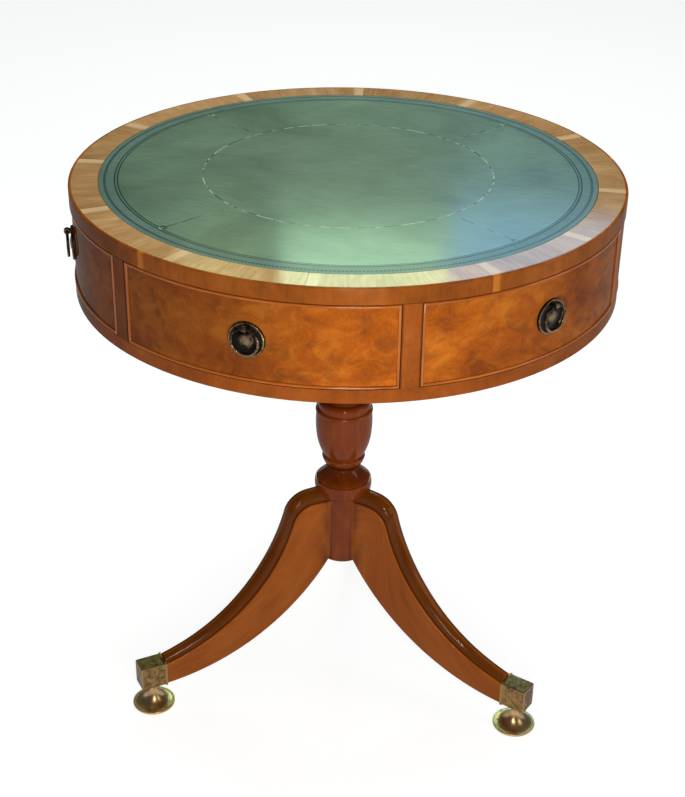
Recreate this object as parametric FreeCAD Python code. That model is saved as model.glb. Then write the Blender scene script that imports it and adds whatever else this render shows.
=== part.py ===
import FreeCAD, Part
import math
import os
from FreeCAD import Vector

# A revolving drum table: a drum with six curved fronts and a leather top, on a turned column
# with three sabre legs. Millimetres, +Z up, origin on the floor under the column's axis.
# Angles are measured from the front, which faces -Y, turning towards +X.

# Overall
table_height = 660.0
top_radius = 305.5
section_count = 6
drawer_count = 3
leg_count = 3
first_leg_angle = -45.6
overrun = 2.0

# Top
lipping_thickness = 3.0
lipping_height = 18.0
lipping_round = 1.6
veneer_thickness = 1.5
crossband_width = 29.0
crossband_segments = 12
crossband_start_angle = 13.0

# Drum
top_overhang = 0.5
drum_height = 105.0
rail_height = 15.0
rail_depth = 39.0
rail_round = 1.2
stile_face_width = 20.0
stile_depth = 49.0
bottom_board_thickness = 12.0
guide_thickness = 12.0
kicker_width = 12.0
kicker_height = 8.0
stop_width = 30.0
stop_depth = 14.0
stop_height = 6.0
stop_inset = 23.0

# Fronts, real and dummy
front_setback = 1.5
front_thickness = 18.0
front_gap = 0.5
bead_width = 3.0
bead_depth = 9.0
bead_proud = 2.0
bead_round = 1.35

# Drawer boxes
box_clearance = 3.7
box_height = 80.0
side_thickness = 9.0
back_thickness = 8.0
back_clearance = 4.45
panel_thickness = 4.0
panel_rise = 9.0
groove_depth = 4.0
dovetail_length = 8.0
dovetail_count = 3
dovetail_neck = 7.0
dovetail_spread = 2.5
drawer_play = 0.5
drawer_lift = 0.3

# Ring pulls
handle_drop = 63.0
plate_radius = 19.0
plate_rise = 2.4
plate_seat = 1.0
rim_width = 3.0
dome_radius = 9.0
dome_top = 4.2
spur_radius = 1.5
spur_length = 9.0
ring_mean_radius = 14.0
ring_wire_radius = 1.6
ring_standoff = 6.5
eye_bore_radius = 2.05
eye_wall = 1.4
eye_width = 5.0

# Swivel between drum and column
bearer_radius = 85.0
bearer_thickness = 22.0
bearer_foot_radius = 58.0
tenon_radius = 18.0
thrust_outer_radius = 78.0
thrust_inner_radius = 56.0
thrust_thickness = 2.0
pivot_radius = 8.0
pivot_embedded = 60.0
pivot_clearance = 0.05
bush_wall = 3.0
bush_flange_radius = 17.0
bush_flange_thickness = 3.0
nut_flats = 24.0
nut_height = 9.0
nut_flange_radius = 15.0
nut_flange_thickness = 2.0
nut_gap = 0.3
pivot_end = 3.0

# Column
post_bottom = 156.0
post_radius = 28.0
collar_bottom = 247.0
collar_height = 37.0
collar_radius = 35.6
cup_height = 14.0
cup_radius = 26.5
urn_height = 76.0
urn_radius = 34.6
shaft_radius = 25.0

# Turned members, from the bottom up: share of the member's height, share of its radius, and
# the bulge of the stretch up to the next row as a share of that stretch's length.
collar_shares = [
    (0.0, 0.88, 0.15), (0.13, 0.96, 0.06), (0.49, 0.96, 0), (0.49, 0.90, 0), (0.535, 0.90, 0),
    (0.535, 0.92, -0.03), (0.93, 0.542, 0), (0.93, 0.562, 0.4), (1.0, 0.562, 0)]
cup_shares = [
    (0.0, 0.68, 0.12), (0.8, 0.97, 0.3), (1.0, 0.94, 0)]
urn_shares = [
    (0.0, 0.685, 0.055), (0.45, 0.974, 0.02), (0.80, 0.971, 0.3), (0.86, 0.945, 0),
    (0.86, 0.905, 0), (0.94, 0.905, 0.2), (1.0, 0.74, 0)]
shaft_shares = [
    (0.0, 0.92, -0.2), (0.06, 0.80, 0), (0.06, 0.98, 0.4), (0.10, 0.98, 0), (0.10, 0.86, -0.02),
    (0.78, 0.74, 0), (0.78, 0.88, 0.4), (0.82, 0.88, 0), (0.82, 0.76, -0.2), (0.96, 1.36, 0),
    (1.0, 1.36, 0)]

# Legs
leg_top = 242.5
leg_root_thickness = 30.0
leg_toe_thickness = 24.0
leg_straight_end = 45.0
leg_core_radius = 20.0
knee_radius = 28.0
knee_turn = 74.0
leg_under_radius = 273.0
leg_root_low = 154.0
toe_radius = 242.5
toe_top = 61.5
toe_bottom = 32.5
arris_bead = 3.2
crown_root = 16.0
crown_toe = 9.0
collar_gap = 0.4
tail_neck_width = 11.0
tail_width = 17.0
tail_depth = 15.0
tail_top = 232.0

# How far the round part of a crown rises, as a share of its half width, and how far a
# half-round curve reaches, as a share of the height of its control points.
crown_round_share = 0.85
half_round_share = 0.75

# Stations along a leg: share of the way along the upper edge, share along the lower edge.
leg_station_shares = [
    (0.0, 0.0), (0.05, 0.02), (0.097, 0.045), (0.133, 0.065), (0.169, 0.09), (0.205, 0.115),
    (0.29, 0.165), (0.40, 0.24), (0.533, 0.345), (0.68, 0.51), (0.815, 0.692), (0.91, 0.845),
    (1.0, 1.0)]

# Toe caps and glides
cap_length = 33.0
cap_width = 24.0
cap_wall = 1.5
cap_round = 1.5
cap_lip_length = 3.0
cap_lip_proud = 1.0
glide_inset = 15.5
glide_radius = 25.8
glide_rim = 3.0
glide_neck_radius = 5.0
glide_boss_radius = 8.0
glide_boss_height = 2.5
glide_stem_radius = 3.0
glide_stem_length = 14.0

# Strap under the post
strap_thickness = 2.0
strap_width = 14.0
strap_reach = 74.0
strap_hub_radius = 24.0
screw_radius = 2.0
screw_head_radius = 4.0
screw_head_height = 1.4
screw_length = 12.0
screw_reach_shares = [0.62, 0.86]

# Heights and radii worked out from the sizes above
drum_top = table_height - lipping_height
drum_bottom = drum_top - drum_height
rail_top = drum_bottom + rail_height
board_bottom = rail_top - bottom_board_thickness
bearer_top = board_bottom - thrust_thickness
bearer_bottom = bearer_top - bearer_thickness
drum_radius = top_radius - top_overhang
board_radius = drum_radius - rail_depth
core_radius = top_radius - lipping_thickness
leather_radius = core_radius - crossband_width
face_radius = drum_radius - front_setback
front_inner_radius = face_radius - front_thickness
bead_seat_radius = face_radius - bead_depth
front_bottom = rail_top + front_gap
front_top = drum_top - front_gap
handle_height = table_height - handle_drop
section_angle = 360.0 / section_count
drawer_angle = 360.0 / drawer_count
stile_half_angle = math.degrees(stile_face_width / 2 / drum_radius)
opening_half_angle = section_angle / 2 - stile_half_angle
box_reach = (drum_radius - stile_depth) * math.sin(math.radians(opening_half_angle))
box_width = 2 * (box_reach - box_clearance)
stop_offset = box_width / 2 - side_thickness - stop_inset - stop_width / 2
back_distance = box_width / 2 / math.tan(math.radians(drawer_angle / 2)) + back_clearance
cup_bottom = collar_bottom + collar_height
urn_bottom = cup_bottom + cup_height
shaft_bottom = urn_bottom + urn_height
glide_distance = toe_radius + glide_inset
cap_bottom = toe_bottom - cap_wall
cap_height = toe_top - toe_bottom + 2 * cap_wall
half_turn = 180.0
up = Vector(0, 0, 1)
origin = Vector(0, 0, 0)


def degrees_for(length, radius):
    """Angle that a length covers on a circle, in degrees."""
    return math.degrees(length / radius)


def polar(radius, angle, height=0.0):
    """Point at a radius, an angle from the front and a height."""
    turn = math.radians(angle)
    return Vector(radius * math.sin(turn), -radius * math.cos(turn), height)


def turned_to(shape, angle):
    """Copy of a shape that faces the front, turned about the column to an angle."""
    copy = shape.copy()
    copy.rotate(origin, up, angle)
    return copy


def disc(radius, low, high):
    """Solid disc on the axis between two heights."""
    return Part.makeCylinder(radius, high - low, Vector(0, 0, low))


def washer(inner, outer, low, high):
    """Flat ring on the axis between two heights."""
    return disc(outer, low, high).cut(disc(inner, low - overrun, high + overrun))


def sector(inner, outer, low, high, half_angle):
    """Piece of a ring that faces the front and reaches half_angle to each side."""
    pie = Part.makeCylinder(outer, high - low, Vector(0, 0, low), up, 2 * half_angle)
    pie.rotate(origin, up, -90 - half_angle)
    return pie.cut(disc(inner, low - overrun, high + overrun))


def block(x_low, x_high, near, far, low, high):
    """Box between two x values, two distances towards the front and two heights."""
    corner = Vector(x_low, -far, low)
    return Part.makeBox(x_high - x_low, far - near, high - low, corner)


def bulged_edges(rows):
    """Lines and arcs through (radius, height, bulge) rows, in the XZ plane."""
    edges = []
    for (r_a, z_a, bulge), (r_b, z_b, _) in zip(rows, rows[1:]):
        start = Vector(r_a, 0, z_a)
        end = Vector(r_b, 0, z_b)
        if bulge == 0:
            edges.append(Part.makeLine(start, end))
            continue
        outward = Vector(z_b - z_a, 0, r_a - r_b)
        middle = (start + end) * 0.5 + outward * bulge
        edges.append(Part.Arc(start, middle, end).toShape())
    return edges


def turned(rows):
    """Solid of revolution whose outline runs up through the rows, closed along the axis."""
    first = (0, rows[0][1], 0)
    last = (0, rows[-1][1], 0)
    closed = [first] + rows + [last, first]
    face = Part.Face(Part.Wire(bulged_edges(closed)))
    return face.revolve(origin, up, 360)


def member_rows(bottom, height, radius, shares):
    """Rows of one turned member from its table of shares."""
    return [(r_share * radius, bottom + z_share * height, bulge)
            for z_share, r_share, bulge in shares]


def prism(corners, low, high):
    """Upright prism on a plan given as (x, distance towards the front) corners."""
    points = [Vector(x, -away, low) for x, away in corners]
    face = Part.Face(Part.makePolygon(points + points[:1]))
    return face.extrude(Vector(0, 0, high - low))


def fuse_all(shapes):
    """One solid from several that touch or overlap."""
    whole = shapes[0].multiFuse(shapes[1:])
    return whole.removeSplitter()


def save(node, shapes):
    """Write one node's solids to its STEP file."""
    solids = [solid for shape in shapes for solid in shape.Solids]
    whole = solids[0] if len(solids) == 1 else Part.makeCompound(solids)
    whole.exportStep("parts/" + node + ".step")


# Top

def top_board():
    """Core of the top, under the veneer and the leather."""
    return disc(core_radius, drum_top, table_height - veneer_thickness)


def top_lipping():
    """Band round the edge of the top, its upper and lower arris rounded."""
    band = washer(core_radius, top_radius, drum_top, table_height)
    rims = [edge for edge in band.Edges
            if abs(edge.BoundBox.XLength - 2 * top_radius) < lipping_round
            and edge.BoundBox.ZLength < lipping_round]
    return band.makeFillet(lipping_round, rims)


def crossband_pieces():
    """Twelve segments of veneer between the leather and the lipping."""
    half_angle = half_turn / crossband_segments
    low = table_height - veneer_thickness
    piece = sector(leather_radius, core_radius, low, table_height, half_angle)
    return [turned_to(piece, crossband_start_angle + (2 * number + 1) * half_angle)
            for number in range(crossband_segments)]


def leather_inset():
    """Leather disc, flush with the crossbanding."""
    return disc(leather_radius, table_height - veneer_thickness, table_height)


# Drum carcass

def guide(side):
    """Upright board beside a drawer, from the mitre near the centre to the drum's wall."""
    inner = box_width / 2 + drawer_play
    outer = inner + guide_thickness
    slope = math.tan(math.radians(drawer_angle / 2))
    corners = [(side * inner, inner / slope), (side * inner, drum_radius),
               (side * outer, drum_radius), (side * outer, outer / slope)]
    board = prism(corners, rail_top, drum_top)
    return board.common(disc(front_inner_radius - front_gap, rail_top, drum_top))


def drawer_guides():
    """A pair of guides for each drawer."""
    return [turned_to(guide(side), number * drawer_angle)
            for number in range(drawer_count) for side in (-1, 1)]


def stiles(guides):
    """Six upright stiles, each notched over the guide that it holds."""
    plain = sector(drum_radius - stile_depth, drum_radius, rail_top, drum_top, stile_half_angle)
    found = []
    for number in range(section_count):
        stile = turned_to(plain, (number + 0.5) * section_angle)
        found.append(stile.cut(Part.makeCompound(guides)))
    return found


def bottom_rail():
    """Ring under the fronts, its lower arris rounded."""
    ring = washer(board_radius, drum_radius, drum_bottom, rail_top)
    rims = [edge for edge in ring.Edges
            if abs(edge.BoundBox.XLength - 2 * drum_radius) < rail_round
            and edge.BoundBox.ZMax < drum_bottom + rail_round]
    return ring.makeFillet(rail_round, rims)


def bottom_board():
    """Board that fills the rail ring, bored for the bush."""
    return washer(bush_outer_radius(), board_radius, board_bottom, rail_top)


def kicker(side):
    """Strip above a drawer side that keeps the open drawer from tipping."""
    outer = box_width / 2 + drawer_play
    inner = outer - kicker_width
    x_low, x_high = sorted((side * inner, side * outer))
    low = drum_top - kicker_height
    strip = block(x_low, x_high, back_distance, drum_radius, low, drum_top)
    return strip.common(disc(front_inner_radius - front_gap, low, drum_top))


def kickers():
    """A pair of kickers for each drawer."""
    return [turned_to(kicker(side), number * drawer_angle)
            for number in range(drawer_count) for side in (-1, 1)]


def drawer_stop(side):
    """Small block on the bottom board that the front comes up against."""
    middle = side * stop_offset
    strip = block(middle - stop_width / 2, middle + stop_width / 2, 0, drum_radius,
                  rail_top, rail_top + stop_height)
    outer = front_inner_radius - front_gap / 2
    return strip.common(washer(outer - stop_depth, outer, rail_top, rail_top + stop_height))


def drawer_stops():
    """A pair of stops for each drawer."""
    return [turned_to(drawer_stop(side), number * drawer_angle)
            for number in range(drawer_count) for side in (-1, 1)]


# Fronts and their cock beads

def front_half_angle():
    """Half of the angle that a front covers, its gap taken off."""
    return opening_half_angle - degrees_for(front_gap, drum_radius)


def bead_frame_space(outer):
    """Space of the bead that frames a front, out to a given radius."""
    inset = front_half_angle() - degrees_for(bead_width, drum_radius)
    whole = sector(bead_seat_radius, outer, front_bottom, front_top, front_half_angle())
    middle = sector(bead_seat_radius - overrun, outer + overrun, front_bottom + bead_width,
                    front_top - bead_width, inset)
    return whole.cut(middle)


def cock_bead():
    """Bead let into the edges of a front, its nose rounded."""
    nose_radius = face_radius + bead_proud
    frame = bead_frame_space(nose_radius)
    nose = [edge for edge in frame.Edges if on_cylinder(edge, nose_radius)]
    return frame.makeFillet(bead_round, nose)


def on_cylinder(edge, radius):
    """Whether both ends and the middle of an edge lie at a radius from the axis."""
    middle = edge.valueAt((edge.FirstParameter + edge.LastParameter) / 2)
    points = [vertex.Point for vertex in edge.Vertexes] + [middle]
    return all(abs(math.hypot(point.x, point.y) - radius) < pivot_clearance for point in points)


def front_blank():
    """Curved panel of a front, rebated for its bead."""
    panel = sector(front_inner_radius, face_radius, front_bottom, front_top, front_half_angle())
    return panel.cut(bead_frame_space(face_radius + overrun))


def dummy_front():
    """Fixed front: as the drawer fronts, with a back part that fills the opening."""
    back = sector(front_inner_radius, bead_seat_radius, rail_top, drum_top, opening_half_angle)
    return fuse_all([front_blank(), back]).cut(handle_spur())


def drawer_front(fitted):
    """Front of a drawer, cut for the sides, the bottom panel and the handle's spur."""
    return front_blank().cut(Part.makeCompound(fitted)).cut(handle_spur())


# Drawer boxes

def box_bottom():
    """Height of the lower edge of the drawer sides."""
    return rail_top + drawer_lift


def dovetail_pin(number):
    """Space between two tails, which the front's wood fills."""
    pitch = box_height / dovetail_count
    low = box_bottom() + number * pitch - dovetail_neck / 2
    high = low + dovetail_neck
    root = front_inner_radius - dovetail_length
    rim = front_inner_radius + dovetail_length + overrun
    points = [Vector(0, -root, low + dovetail_spread), Vector(0, -rim, low - dovetail_spread),
              Vector(0, -rim, high + dovetail_spread), Vector(0, -root, high - dovetail_spread)]
    face = Part.Face(Part.makePolygon(points + points[:1]))
    solid = face.extrude(Vector(box_width, 0, 0))
    solid.translate(Vector(-box_width / 2, 0, 0))
    return solid


def drawer_side(side, panel):
    """Side board with lapped dovetails at the front end and a groove for the bottom."""
    outer = box_width / 2
    x_low, x_high = sorted((side * (outer - side_thickness), side * outer))
    low = box_bottom()
    board = block(x_low, x_high, back_distance, drum_radius, low, low + box_height)
    board = board.common(disc(front_inner_radius + dovetail_length, low, low + box_height))
    shoulder = disc(front_inner_radius, low - overrun, low + box_height + overrun)
    for number in range(dovetail_count + 1):
        board = board.cut(dovetail_pin(number).cut(shoulder))
    return board.cut(panel)


def drawer_back():
    """Back board between the sides, standing on the bottom panel."""
    half = box_width / 2 - side_thickness
    low = box_bottom() + panel_rise + panel_thickness
    high = box_bottom() + box_height - panel_rise
    return block(-half, half, back_distance, back_distance + back_thickness, low, high)


def drawer_panel():
    """Bottom panel, let into grooves in the sides and the front."""
    half = box_width / 2 - side_thickness + groove_depth
    low = box_bottom() + panel_rise
    high = low + panel_thickness
    panel = block(-half, half, back_distance, drum_radius, low, high)
    return panel.common(disc(front_inner_radius + groove_depth, low, high))


# Ring pulls

def facing_front(shape, height):
    """Move a piece built on the Z axis on to the front's face, pointing outwards."""
    shape.rotate(origin, Vector(1, 0, 0), 90)
    shape.translate(Vector(0, -face_radius, height))
    return shape


def handle_spur():
    """Spur behind a plate that is driven into the front."""
    return facing_front(disc(spur_radius, -spur_length, plate_rise / 2), handle_height)


def cap_bulge(run, rise):
    """Bulge of an arc that ends square to the axis, so that it turns into a round dome."""
    return math.tan(math.atan2(rise, run) / 2) / 2


def plate_rows():
    """Outline of a plate from its seat out to the rim and in to the dome."""
    dome_foot = plate_rise * 0.8
    dome_bulge = cap_bulge(dome_radius, dome_top - dome_foot)
    return [(plate_radius, -plate_seat, 0), (plate_radius, plate_rise * 0.5, 0.35),
            (plate_radius - rim_width, plate_rise * 0.5, 0),
            (plate_radius - rim_width, plate_rise * 0.3, 0), (dome_radius, plate_rise * 0.45, 0),
            (dome_radius, dome_foot, dome_bulge), (0, dome_top, 0)]


def handle_plate():
    """Round dished plate with a centre dome, an eye above it and a spur behind."""
    rows = [(0, -plate_seat, 0)] + plate_rows() + [(0, -plate_seat, 0)]
    face = Part.Face(Part.Wire(bulged_edges(rows)))
    plate = facing_front(face.revolve(origin, up, 360), handle_height)
    plate = plate.cut(disc(face_radius, handle_height - plate_radius * 2,
                           handle_height + plate_radius * 2))
    eye_height = handle_height + ring_mean_radius
    eye_radius = eye_bore_radius + eye_wall
    knuckle = across_cylinder(eye_radius, eye_width, eye_height)
    neck_half = eye_bore_radius + eye_wall / 2
    neck = block(-eye_width / 2, eye_width / 2, face_radius + plate_rise * 0.2,
                 face_radius + ring_standoff, eye_height - neck_half, eye_height + neck_half)
    bore = across_cylinder(eye_bore_radius, eye_width + 2 * overrun, eye_height)
    return fuse_all([plate, neck, knuckle, handle_spur()]).cut(bore)


def across_cylinder(radius, width, height):
    """Cylinder across the front at the eye's place, centred on the drawer's middle line."""
    start = Vector(-width / 2, -face_radius - ring_standoff, height)
    return Part.makeCylinder(radius, width, start, Vector(1, 0, 0))


def ring_pull():
    """Ring that hangs through the eye."""
    centre = Vector(0, -face_radius - ring_standoff, handle_height)
    return Part.makeTorus(ring_mean_radius, ring_wire_radius, centre, Vector(0, 1, 0))


# Swivel

def bush_outer_radius():
    """Radius of the bush's barrel."""
    return pivot_radius + pivot_clearance + bush_wall


def bearer_block():
    """Turned block on the column's tenon that carries the drum."""
    rows = [(bearer_foot_radius, bearer_bottom, -0.22),
            (bearer_radius - veneer_thickness, bearer_bottom + bearer_thickness * 0.5, 0),
            (bearer_radius, bearer_bottom + bearer_thickness * 0.5, 0.12), (bearer_radius, bearer_top, 0)]
    return turned(rows).cut(disc(tenon_radius, bearer_bottom - overrun, bearer_top + overrun))


def thrust_ring():
    """Flat ring that the drum's bottom board turns on."""
    return washer(thrust_inner_radius, thrust_outer_radius, bearer_top, board_bottom)


def hub_bush():
    """Flanged bush in the bottom board."""
    barrel = disc(bush_outer_radius(), board_bottom, rail_top)
    flange = disc(bush_flange_radius, rail_top, rail_top + bush_flange_thickness)
    bore = disc(pivot_radius + pivot_clearance, board_bottom - overrun,
                rail_top + bush_flange_thickness + overrun)
    return fuse_all([barrel, flange]).cut(bore)


def nut_bottom():
    """Height of the nut's underside."""
    return rail_top + bush_flange_thickness + nut_gap


def pivot_pin():
    """Steel pin in the top of the column, on which the drum turns."""
    end = nut_bottom() + nut_flange_thickness + nut_height + pivot_end
    chamfer = pivot_end / 2
    rows = [(pivot_radius, bearer_top - pivot_embedded, 0), (pivot_radius, end - chamfer, 0),
            (pivot_radius - chamfer, end, 0)]
    return turned(rows)


def pivot_nut():
    """Flanged hexagon nut that keeps the drum on its pin."""
    low = nut_bottom()
    flange = disc(nut_flange_radius, low, low + nut_flange_thickness)
    corner = nut_flats / math.sqrt(3)
    plan = [polar(corner, number * section_angle) for number in range(6)]
    body = prism([(point.x, -point.y) for point in plan], low, low + nut_flange_thickness + nut_height)
    return fuse_all([flange, body]).cut(disc(pivot_radius, low - overrun, table_height))


# Column

def column_blank():
    """Turned column from the underside of the post to the top of its tenon."""
    rows = [(post_radius, post_bottom, 0), (post_radius, collar_bottom, 0)]
    rows += member_rows(collar_bottom, collar_height, collar_radius, collar_shares)
    rows += member_rows(cup_bottom, cup_height, cup_radius, cup_shares)
    rows += member_rows(urn_bottom, urn_height, urn_radius, urn_shares)
    rows += member_rows(shaft_bottom, bearer_bottom - shaft_bottom, shaft_radius, shaft_shares)
    rows += [(tenon_radius, bearer_bottom, 0), (tenon_radius, bearer_top, 0)]
    return turned(rows)


def leg_tail():
    """Dovetail on a leg's inner end, slid into the post from below."""
    corners = [(-tail_width / 2, post_radius - tail_depth), (-tail_neck_width / 2, post_radius),
               (-tail_neck_width / 2, post_radius + overrun), (tail_neck_width / 2, post_radius + overrun),
               (tail_neck_width / 2, post_radius), (tail_width / 2, post_radius - tail_depth)]
    return prism(corners, post_bottom, tail_top)


def pedestal_column(angles):
    """Column with a dovetail socket for each leg and a hole for the pivot pin."""
    column = column_blank()
    tail = leg_tail()
    for angle in angles:
        column = column.cut(turned_to(tail, angle))
    return column.cut(disc(pivot_radius, bearer_top - pivot_embedded, bearer_top + overrun))


# Legs

def knee_end():
    """Point where the knee turns into the hollow, and the direction's unit normal."""
    turn = math.radians(knee_turn)
    away = leg_straight_end + knee_radius * math.sin(turn)
    height = leg_top - knee_radius * (1 - math.cos(turn))
    return away, height, math.sin(turn), math.cos(turn)


def hollow_radius():
    """Radius of the upper edge's hollow, which leaves the knee smoothly and meets the toe."""
    away, height, normal_away, normal_up = knee_end()
    across = toe_radius - away
    rise = toe_top - height
    return (across ** 2 + rise ** 2) / (2 * (across * normal_away + rise * normal_up))


def upper_edge_point(share):
    """Point (distance from the axis, height) at a share of the way along the upper edge."""
    away, height, normal_away, normal_up = knee_end()
    radius = hollow_radius()
    centre_away = away + radius * normal_away
    centre_height = height + radius * normal_up
    end_turn = math.asin((centre_away - toe_radius) / radius)
    straight = leg_straight_end - leg_core_radius
    knee = knee_radius * math.radians(knee_turn)
    hollow = radius * (math.radians(knee_turn) - end_turn)
    distance = share * (straight + knee + hollow)
    if distance <= straight:
        return leg_core_radius + distance, leg_top
    if distance <= straight + knee:
        turn = (distance - straight) / knee_radius
        return (leg_straight_end + knee_radius * math.sin(turn),
                leg_top - knee_radius * (1 - math.cos(turn)))
    turn = math.radians(knee_turn) - (distance - straight - knee) / radius
    return centre_away - radius * math.sin(turn), centre_height - radius * math.cos(turn)


def lower_edge_centre():
    """Centre of the arc of the lower edge, through the post's face and the toe."""
    across = toe_radius - post_radius
    drop = toe_bottom - leg_root_low
    chord = math.hypot(across, drop)
    rise = math.sqrt(leg_under_radius ** 2 - (chord / 2) ** 2)
    middle_away = (post_radius + toe_radius) / 2
    middle_height = (leg_root_low + toe_bottom) / 2
    return middle_away - drop / chord * rise, middle_height + across / chord * rise


def lower_edge_point(share):
    """Point (distance from the axis, height) at a share of the way along the lower edge."""
    centre_away, centre_height = lower_edge_centre()
    start = math.asin((centre_away - leg_core_radius) / leg_under_radius)
    end = math.asin((centre_away - toe_radius) / leg_under_radius)
    turn = start + share * (end - start)
    return (centre_away - leg_under_radius * math.sin(turn),
            centre_height - leg_under_radius * math.cos(turn))


def half_round(start, end, rise):
    """Half-round moulding between two points, the same kind of curve at every section."""
    control = rise / half_round_share
    curve = Part.BezierCurve()
    curve.setPoles([start, start + control, end + control, end])
    return curve.toShape()


def leg_section(upper_share, lower_share):
    """Cross-section of a leg: flat sides, a bead on each arris and a raised crown between them."""
    upper = upper_edge_point(upper_share)
    lower = lower_edge_point(lower_share)
    base = Vector(0, -lower[0], lower[1])
    reach = Vector(0, -upper[0], upper[1]) - base
    height = reach.Length
    rising = reach / height
    half = (leg_root_thickness + upper_share * (leg_toe_thickness - leg_root_thickness)) / 2
    crown = crown_root + upper_share * (crown_toe - crown_root)
    bead = arris_bead / 2

    def place(side, level):
        return base + Vector(side, 0, 0) + rising * level

    shoulder = height - bead
    inner = half - 2 * bead
    spring = shoulder + crown - crown_round_share * inner
    corners = [place(-half, 0), place(half, 0), place(half, shoulder), place(inner, shoulder),
               place(inner, spring), place(-inner, spring), place(-inner, shoulder),
               place(-half, shoulder)]
    return Part.Wire([
        Part.makeLine(corners[0], corners[1]), Part.makeLine(corners[1], corners[2]),
        half_round(corners[2], corners[3], rising * bead), Part.makeLine(corners[3], corners[4]),
        half_round(corners[4], corners[5], rising * crown_round_share * inner),
        Part.makeLine(corners[5], corners[6]),
        half_round(corners[6], corners[7], rising * bead),
        Part.makeLine(corners[7], corners[0])])


def toe_tenon():
    """Reduced end of a leg, inside its toe cap."""
    half = cap_width / 2 - cap_wall
    return block(-half, half, toe_radius - overrun, toe_radius + cap_length - cap_wall,
                 toe_bottom, toe_top)


def leg_blank():
    """Sabre leg with its toe tenon, scribed to the round post and to the collar above it."""
    sections = [leg_section(upper, lower) for upper, lower in leg_station_shares]
    sweep = Part.makeLoft(sections, True, False)
    sweep = sweep.cut(disc(post_radius, leg_root_low - overrun, cup_bottom))
    sweep = sweep.cut(disc(collar_radius + collar_gap, collar_bottom, cup_bottom))
    return fuse_all([sweep, toe_tenon(), leg_tail()])


def sabre_leg():
    """Leg, bored under the toe for the glide's stem."""
    return leg_blank().cut(glide_stem())


# Toe caps and glides

def toe_cap():
    """Cast brass box over a toe, open towards the post, with a raised lip."""
    half = cap_width / 2
    start = toe_radius
    end = toe_radius + cap_length
    body = block(-half, half, start, end, cap_bottom, cap_bottom + cap_height)
    corners = [edge for edge in body.Edges if min(-vertex.Point.y for vertex in edge.Vertexes) > start]
    long_edges = [edge for edge in body.Edges if edge.BoundBox.YLength > cap_length / 2]
    body = body.makeFillet(cap_round, corners + long_edges)
    lip = block(-half - cap_lip_proud, half + cap_lip_proud, start, start + cap_lip_length,
                cap_bottom - cap_lip_proud, cap_bottom + cap_height + cap_lip_proud)
    lip_edges = [edge for edge in lip.Edges if edge.BoundBox.YLength > cap_lip_length / 2]
    lip = lip.makeFillet(cap_round, lip_edges)
    hollow = block(-half + cap_wall, half - cap_wall, start - overrun, end - cap_wall,
                   toe_bottom, toe_top)
    return fuse_all([body, lip]).cut(hollow).cut(glide_stem())


def glide_stem():
    """Stem of a glide, which goes through the cap into the toe."""
    return glide_disc(glide_stem_radius, cap_bottom, cap_bottom + glide_stem_length)


def glide_disc(radius, low, high):
    """Disc on a glide's own axis."""
    return Part.makeCylinder(radius, high - low, Vector(0, -glide_distance, low))


def foot_glide():
    """Trumpet-shaped brass glide: a rimmed disc that sweeps up to a narrow neck."""
    boss_bottom = cap_bottom - glide_boss_height
    rows = [(glide_radius, 0, 0), (glide_radius, glide_rim * 0.7, 0.3),
            (glide_radius - glide_rim * 0.3, glide_rim, 0), (glide_radius - glide_rim, glide_rim, -0.24),
            (glide_neck_radius, boss_bottom, 0), (glide_boss_radius, boss_bottom, 0.3),
            (glide_boss_radius, cap_bottom, 0)]
    trumpet = turned(rows)
    trumpet.translate(Vector(0, -glide_distance, 0))
    return fuse_all([trumpet, glide_stem()])


# Strap

def strap_arm():
    """Arm of the strap, bent down along the underside of a leg."""
    centre_away, centre_height = lower_edge_centre()
    centre = Vector(centre_away, 0, centre_height)

    def on_arc(away, radius):
        turn = math.asin((centre_away - away) / radius)
        return centre + Vector(-math.sin(turn), 0, -math.cos(turn)) * radius

    outer = leg_under_radius + strap_thickness
    middle_away = (post_radius + strap_reach) / 2
    upper = [on_arc(away, leg_under_radius) for away in (post_radius, middle_away, strap_reach)]
    lower = [on_arc(away, outer) for away in (strap_reach, middle_away, post_radius)]
    hub_upper = Vector(0, 0, post_bottom)
    hub_lower = Vector(0, 0, post_bottom - strap_thickness)
    bend_upper = Vector(upper[0].x, 0, post_bottom)
    bend_lower = Vector(strap_hub_radius, 0, post_bottom - strap_thickness)
    edges = [Part.makeLine(hub_upper, bend_upper), Part.makeLine(bend_upper, upper[0]),
             Part.Arc(*upper).toShape(), Part.makeLine(upper[2], lower[0]),
             Part.Arc(*lower).toShape(), Part.makeLine(lower[2], bend_lower),
             Part.makeLine(bend_lower, hub_lower), Part.makeLine(hub_lower, hub_upper)]
    arm = Part.Face(Part.Wire(edges)).extrude(Vector(0, strap_width, 0))
    arm.translate(Vector(0, -strap_width / 2, 0))
    arm.rotate(origin, up, -90)
    return arm


def strap_screw(reach_share):
    """Screw through a strap arm, square to the leg's underside."""
    centre_away, centre_height = lower_edge_centre()
    turn = math.asin((centre_away - strap_reach * reach_share) / leg_under_radius)
    outward = Vector(0, math.sin(turn), -math.cos(turn))
    centre = Vector(0, -centre_away, centre_height)
    seat = centre + outward * (leg_under_radius + strap_thickness)
    shank = Part.makeCylinder(screw_radius, screw_length, seat, outward * -1)
    head = Part.makeCylinder(screw_head_radius, screw_head_height, seat, outward)
    return fuse_all([shank, head])


def strap_screws_on_leg():
    """The screws through one arm of the strap."""
    return [strap_screw(share) for share in screw_reach_shares]


def leg_strap(angles, leg):
    """Iron strap with an arm under each leg, shaped to the leg's underside."""
    hub = disc(strap_hub_radius, post_bottom - strap_thickness, post_bottom)
    arm = strap_arm().cut(leg)
    for screw in strap_screws_on_leg():
        arm = arm.cut(screw)
    return fuse_all([hub] + [turned_to(arm, angle) for angle in angles])


# Assembly

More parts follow.
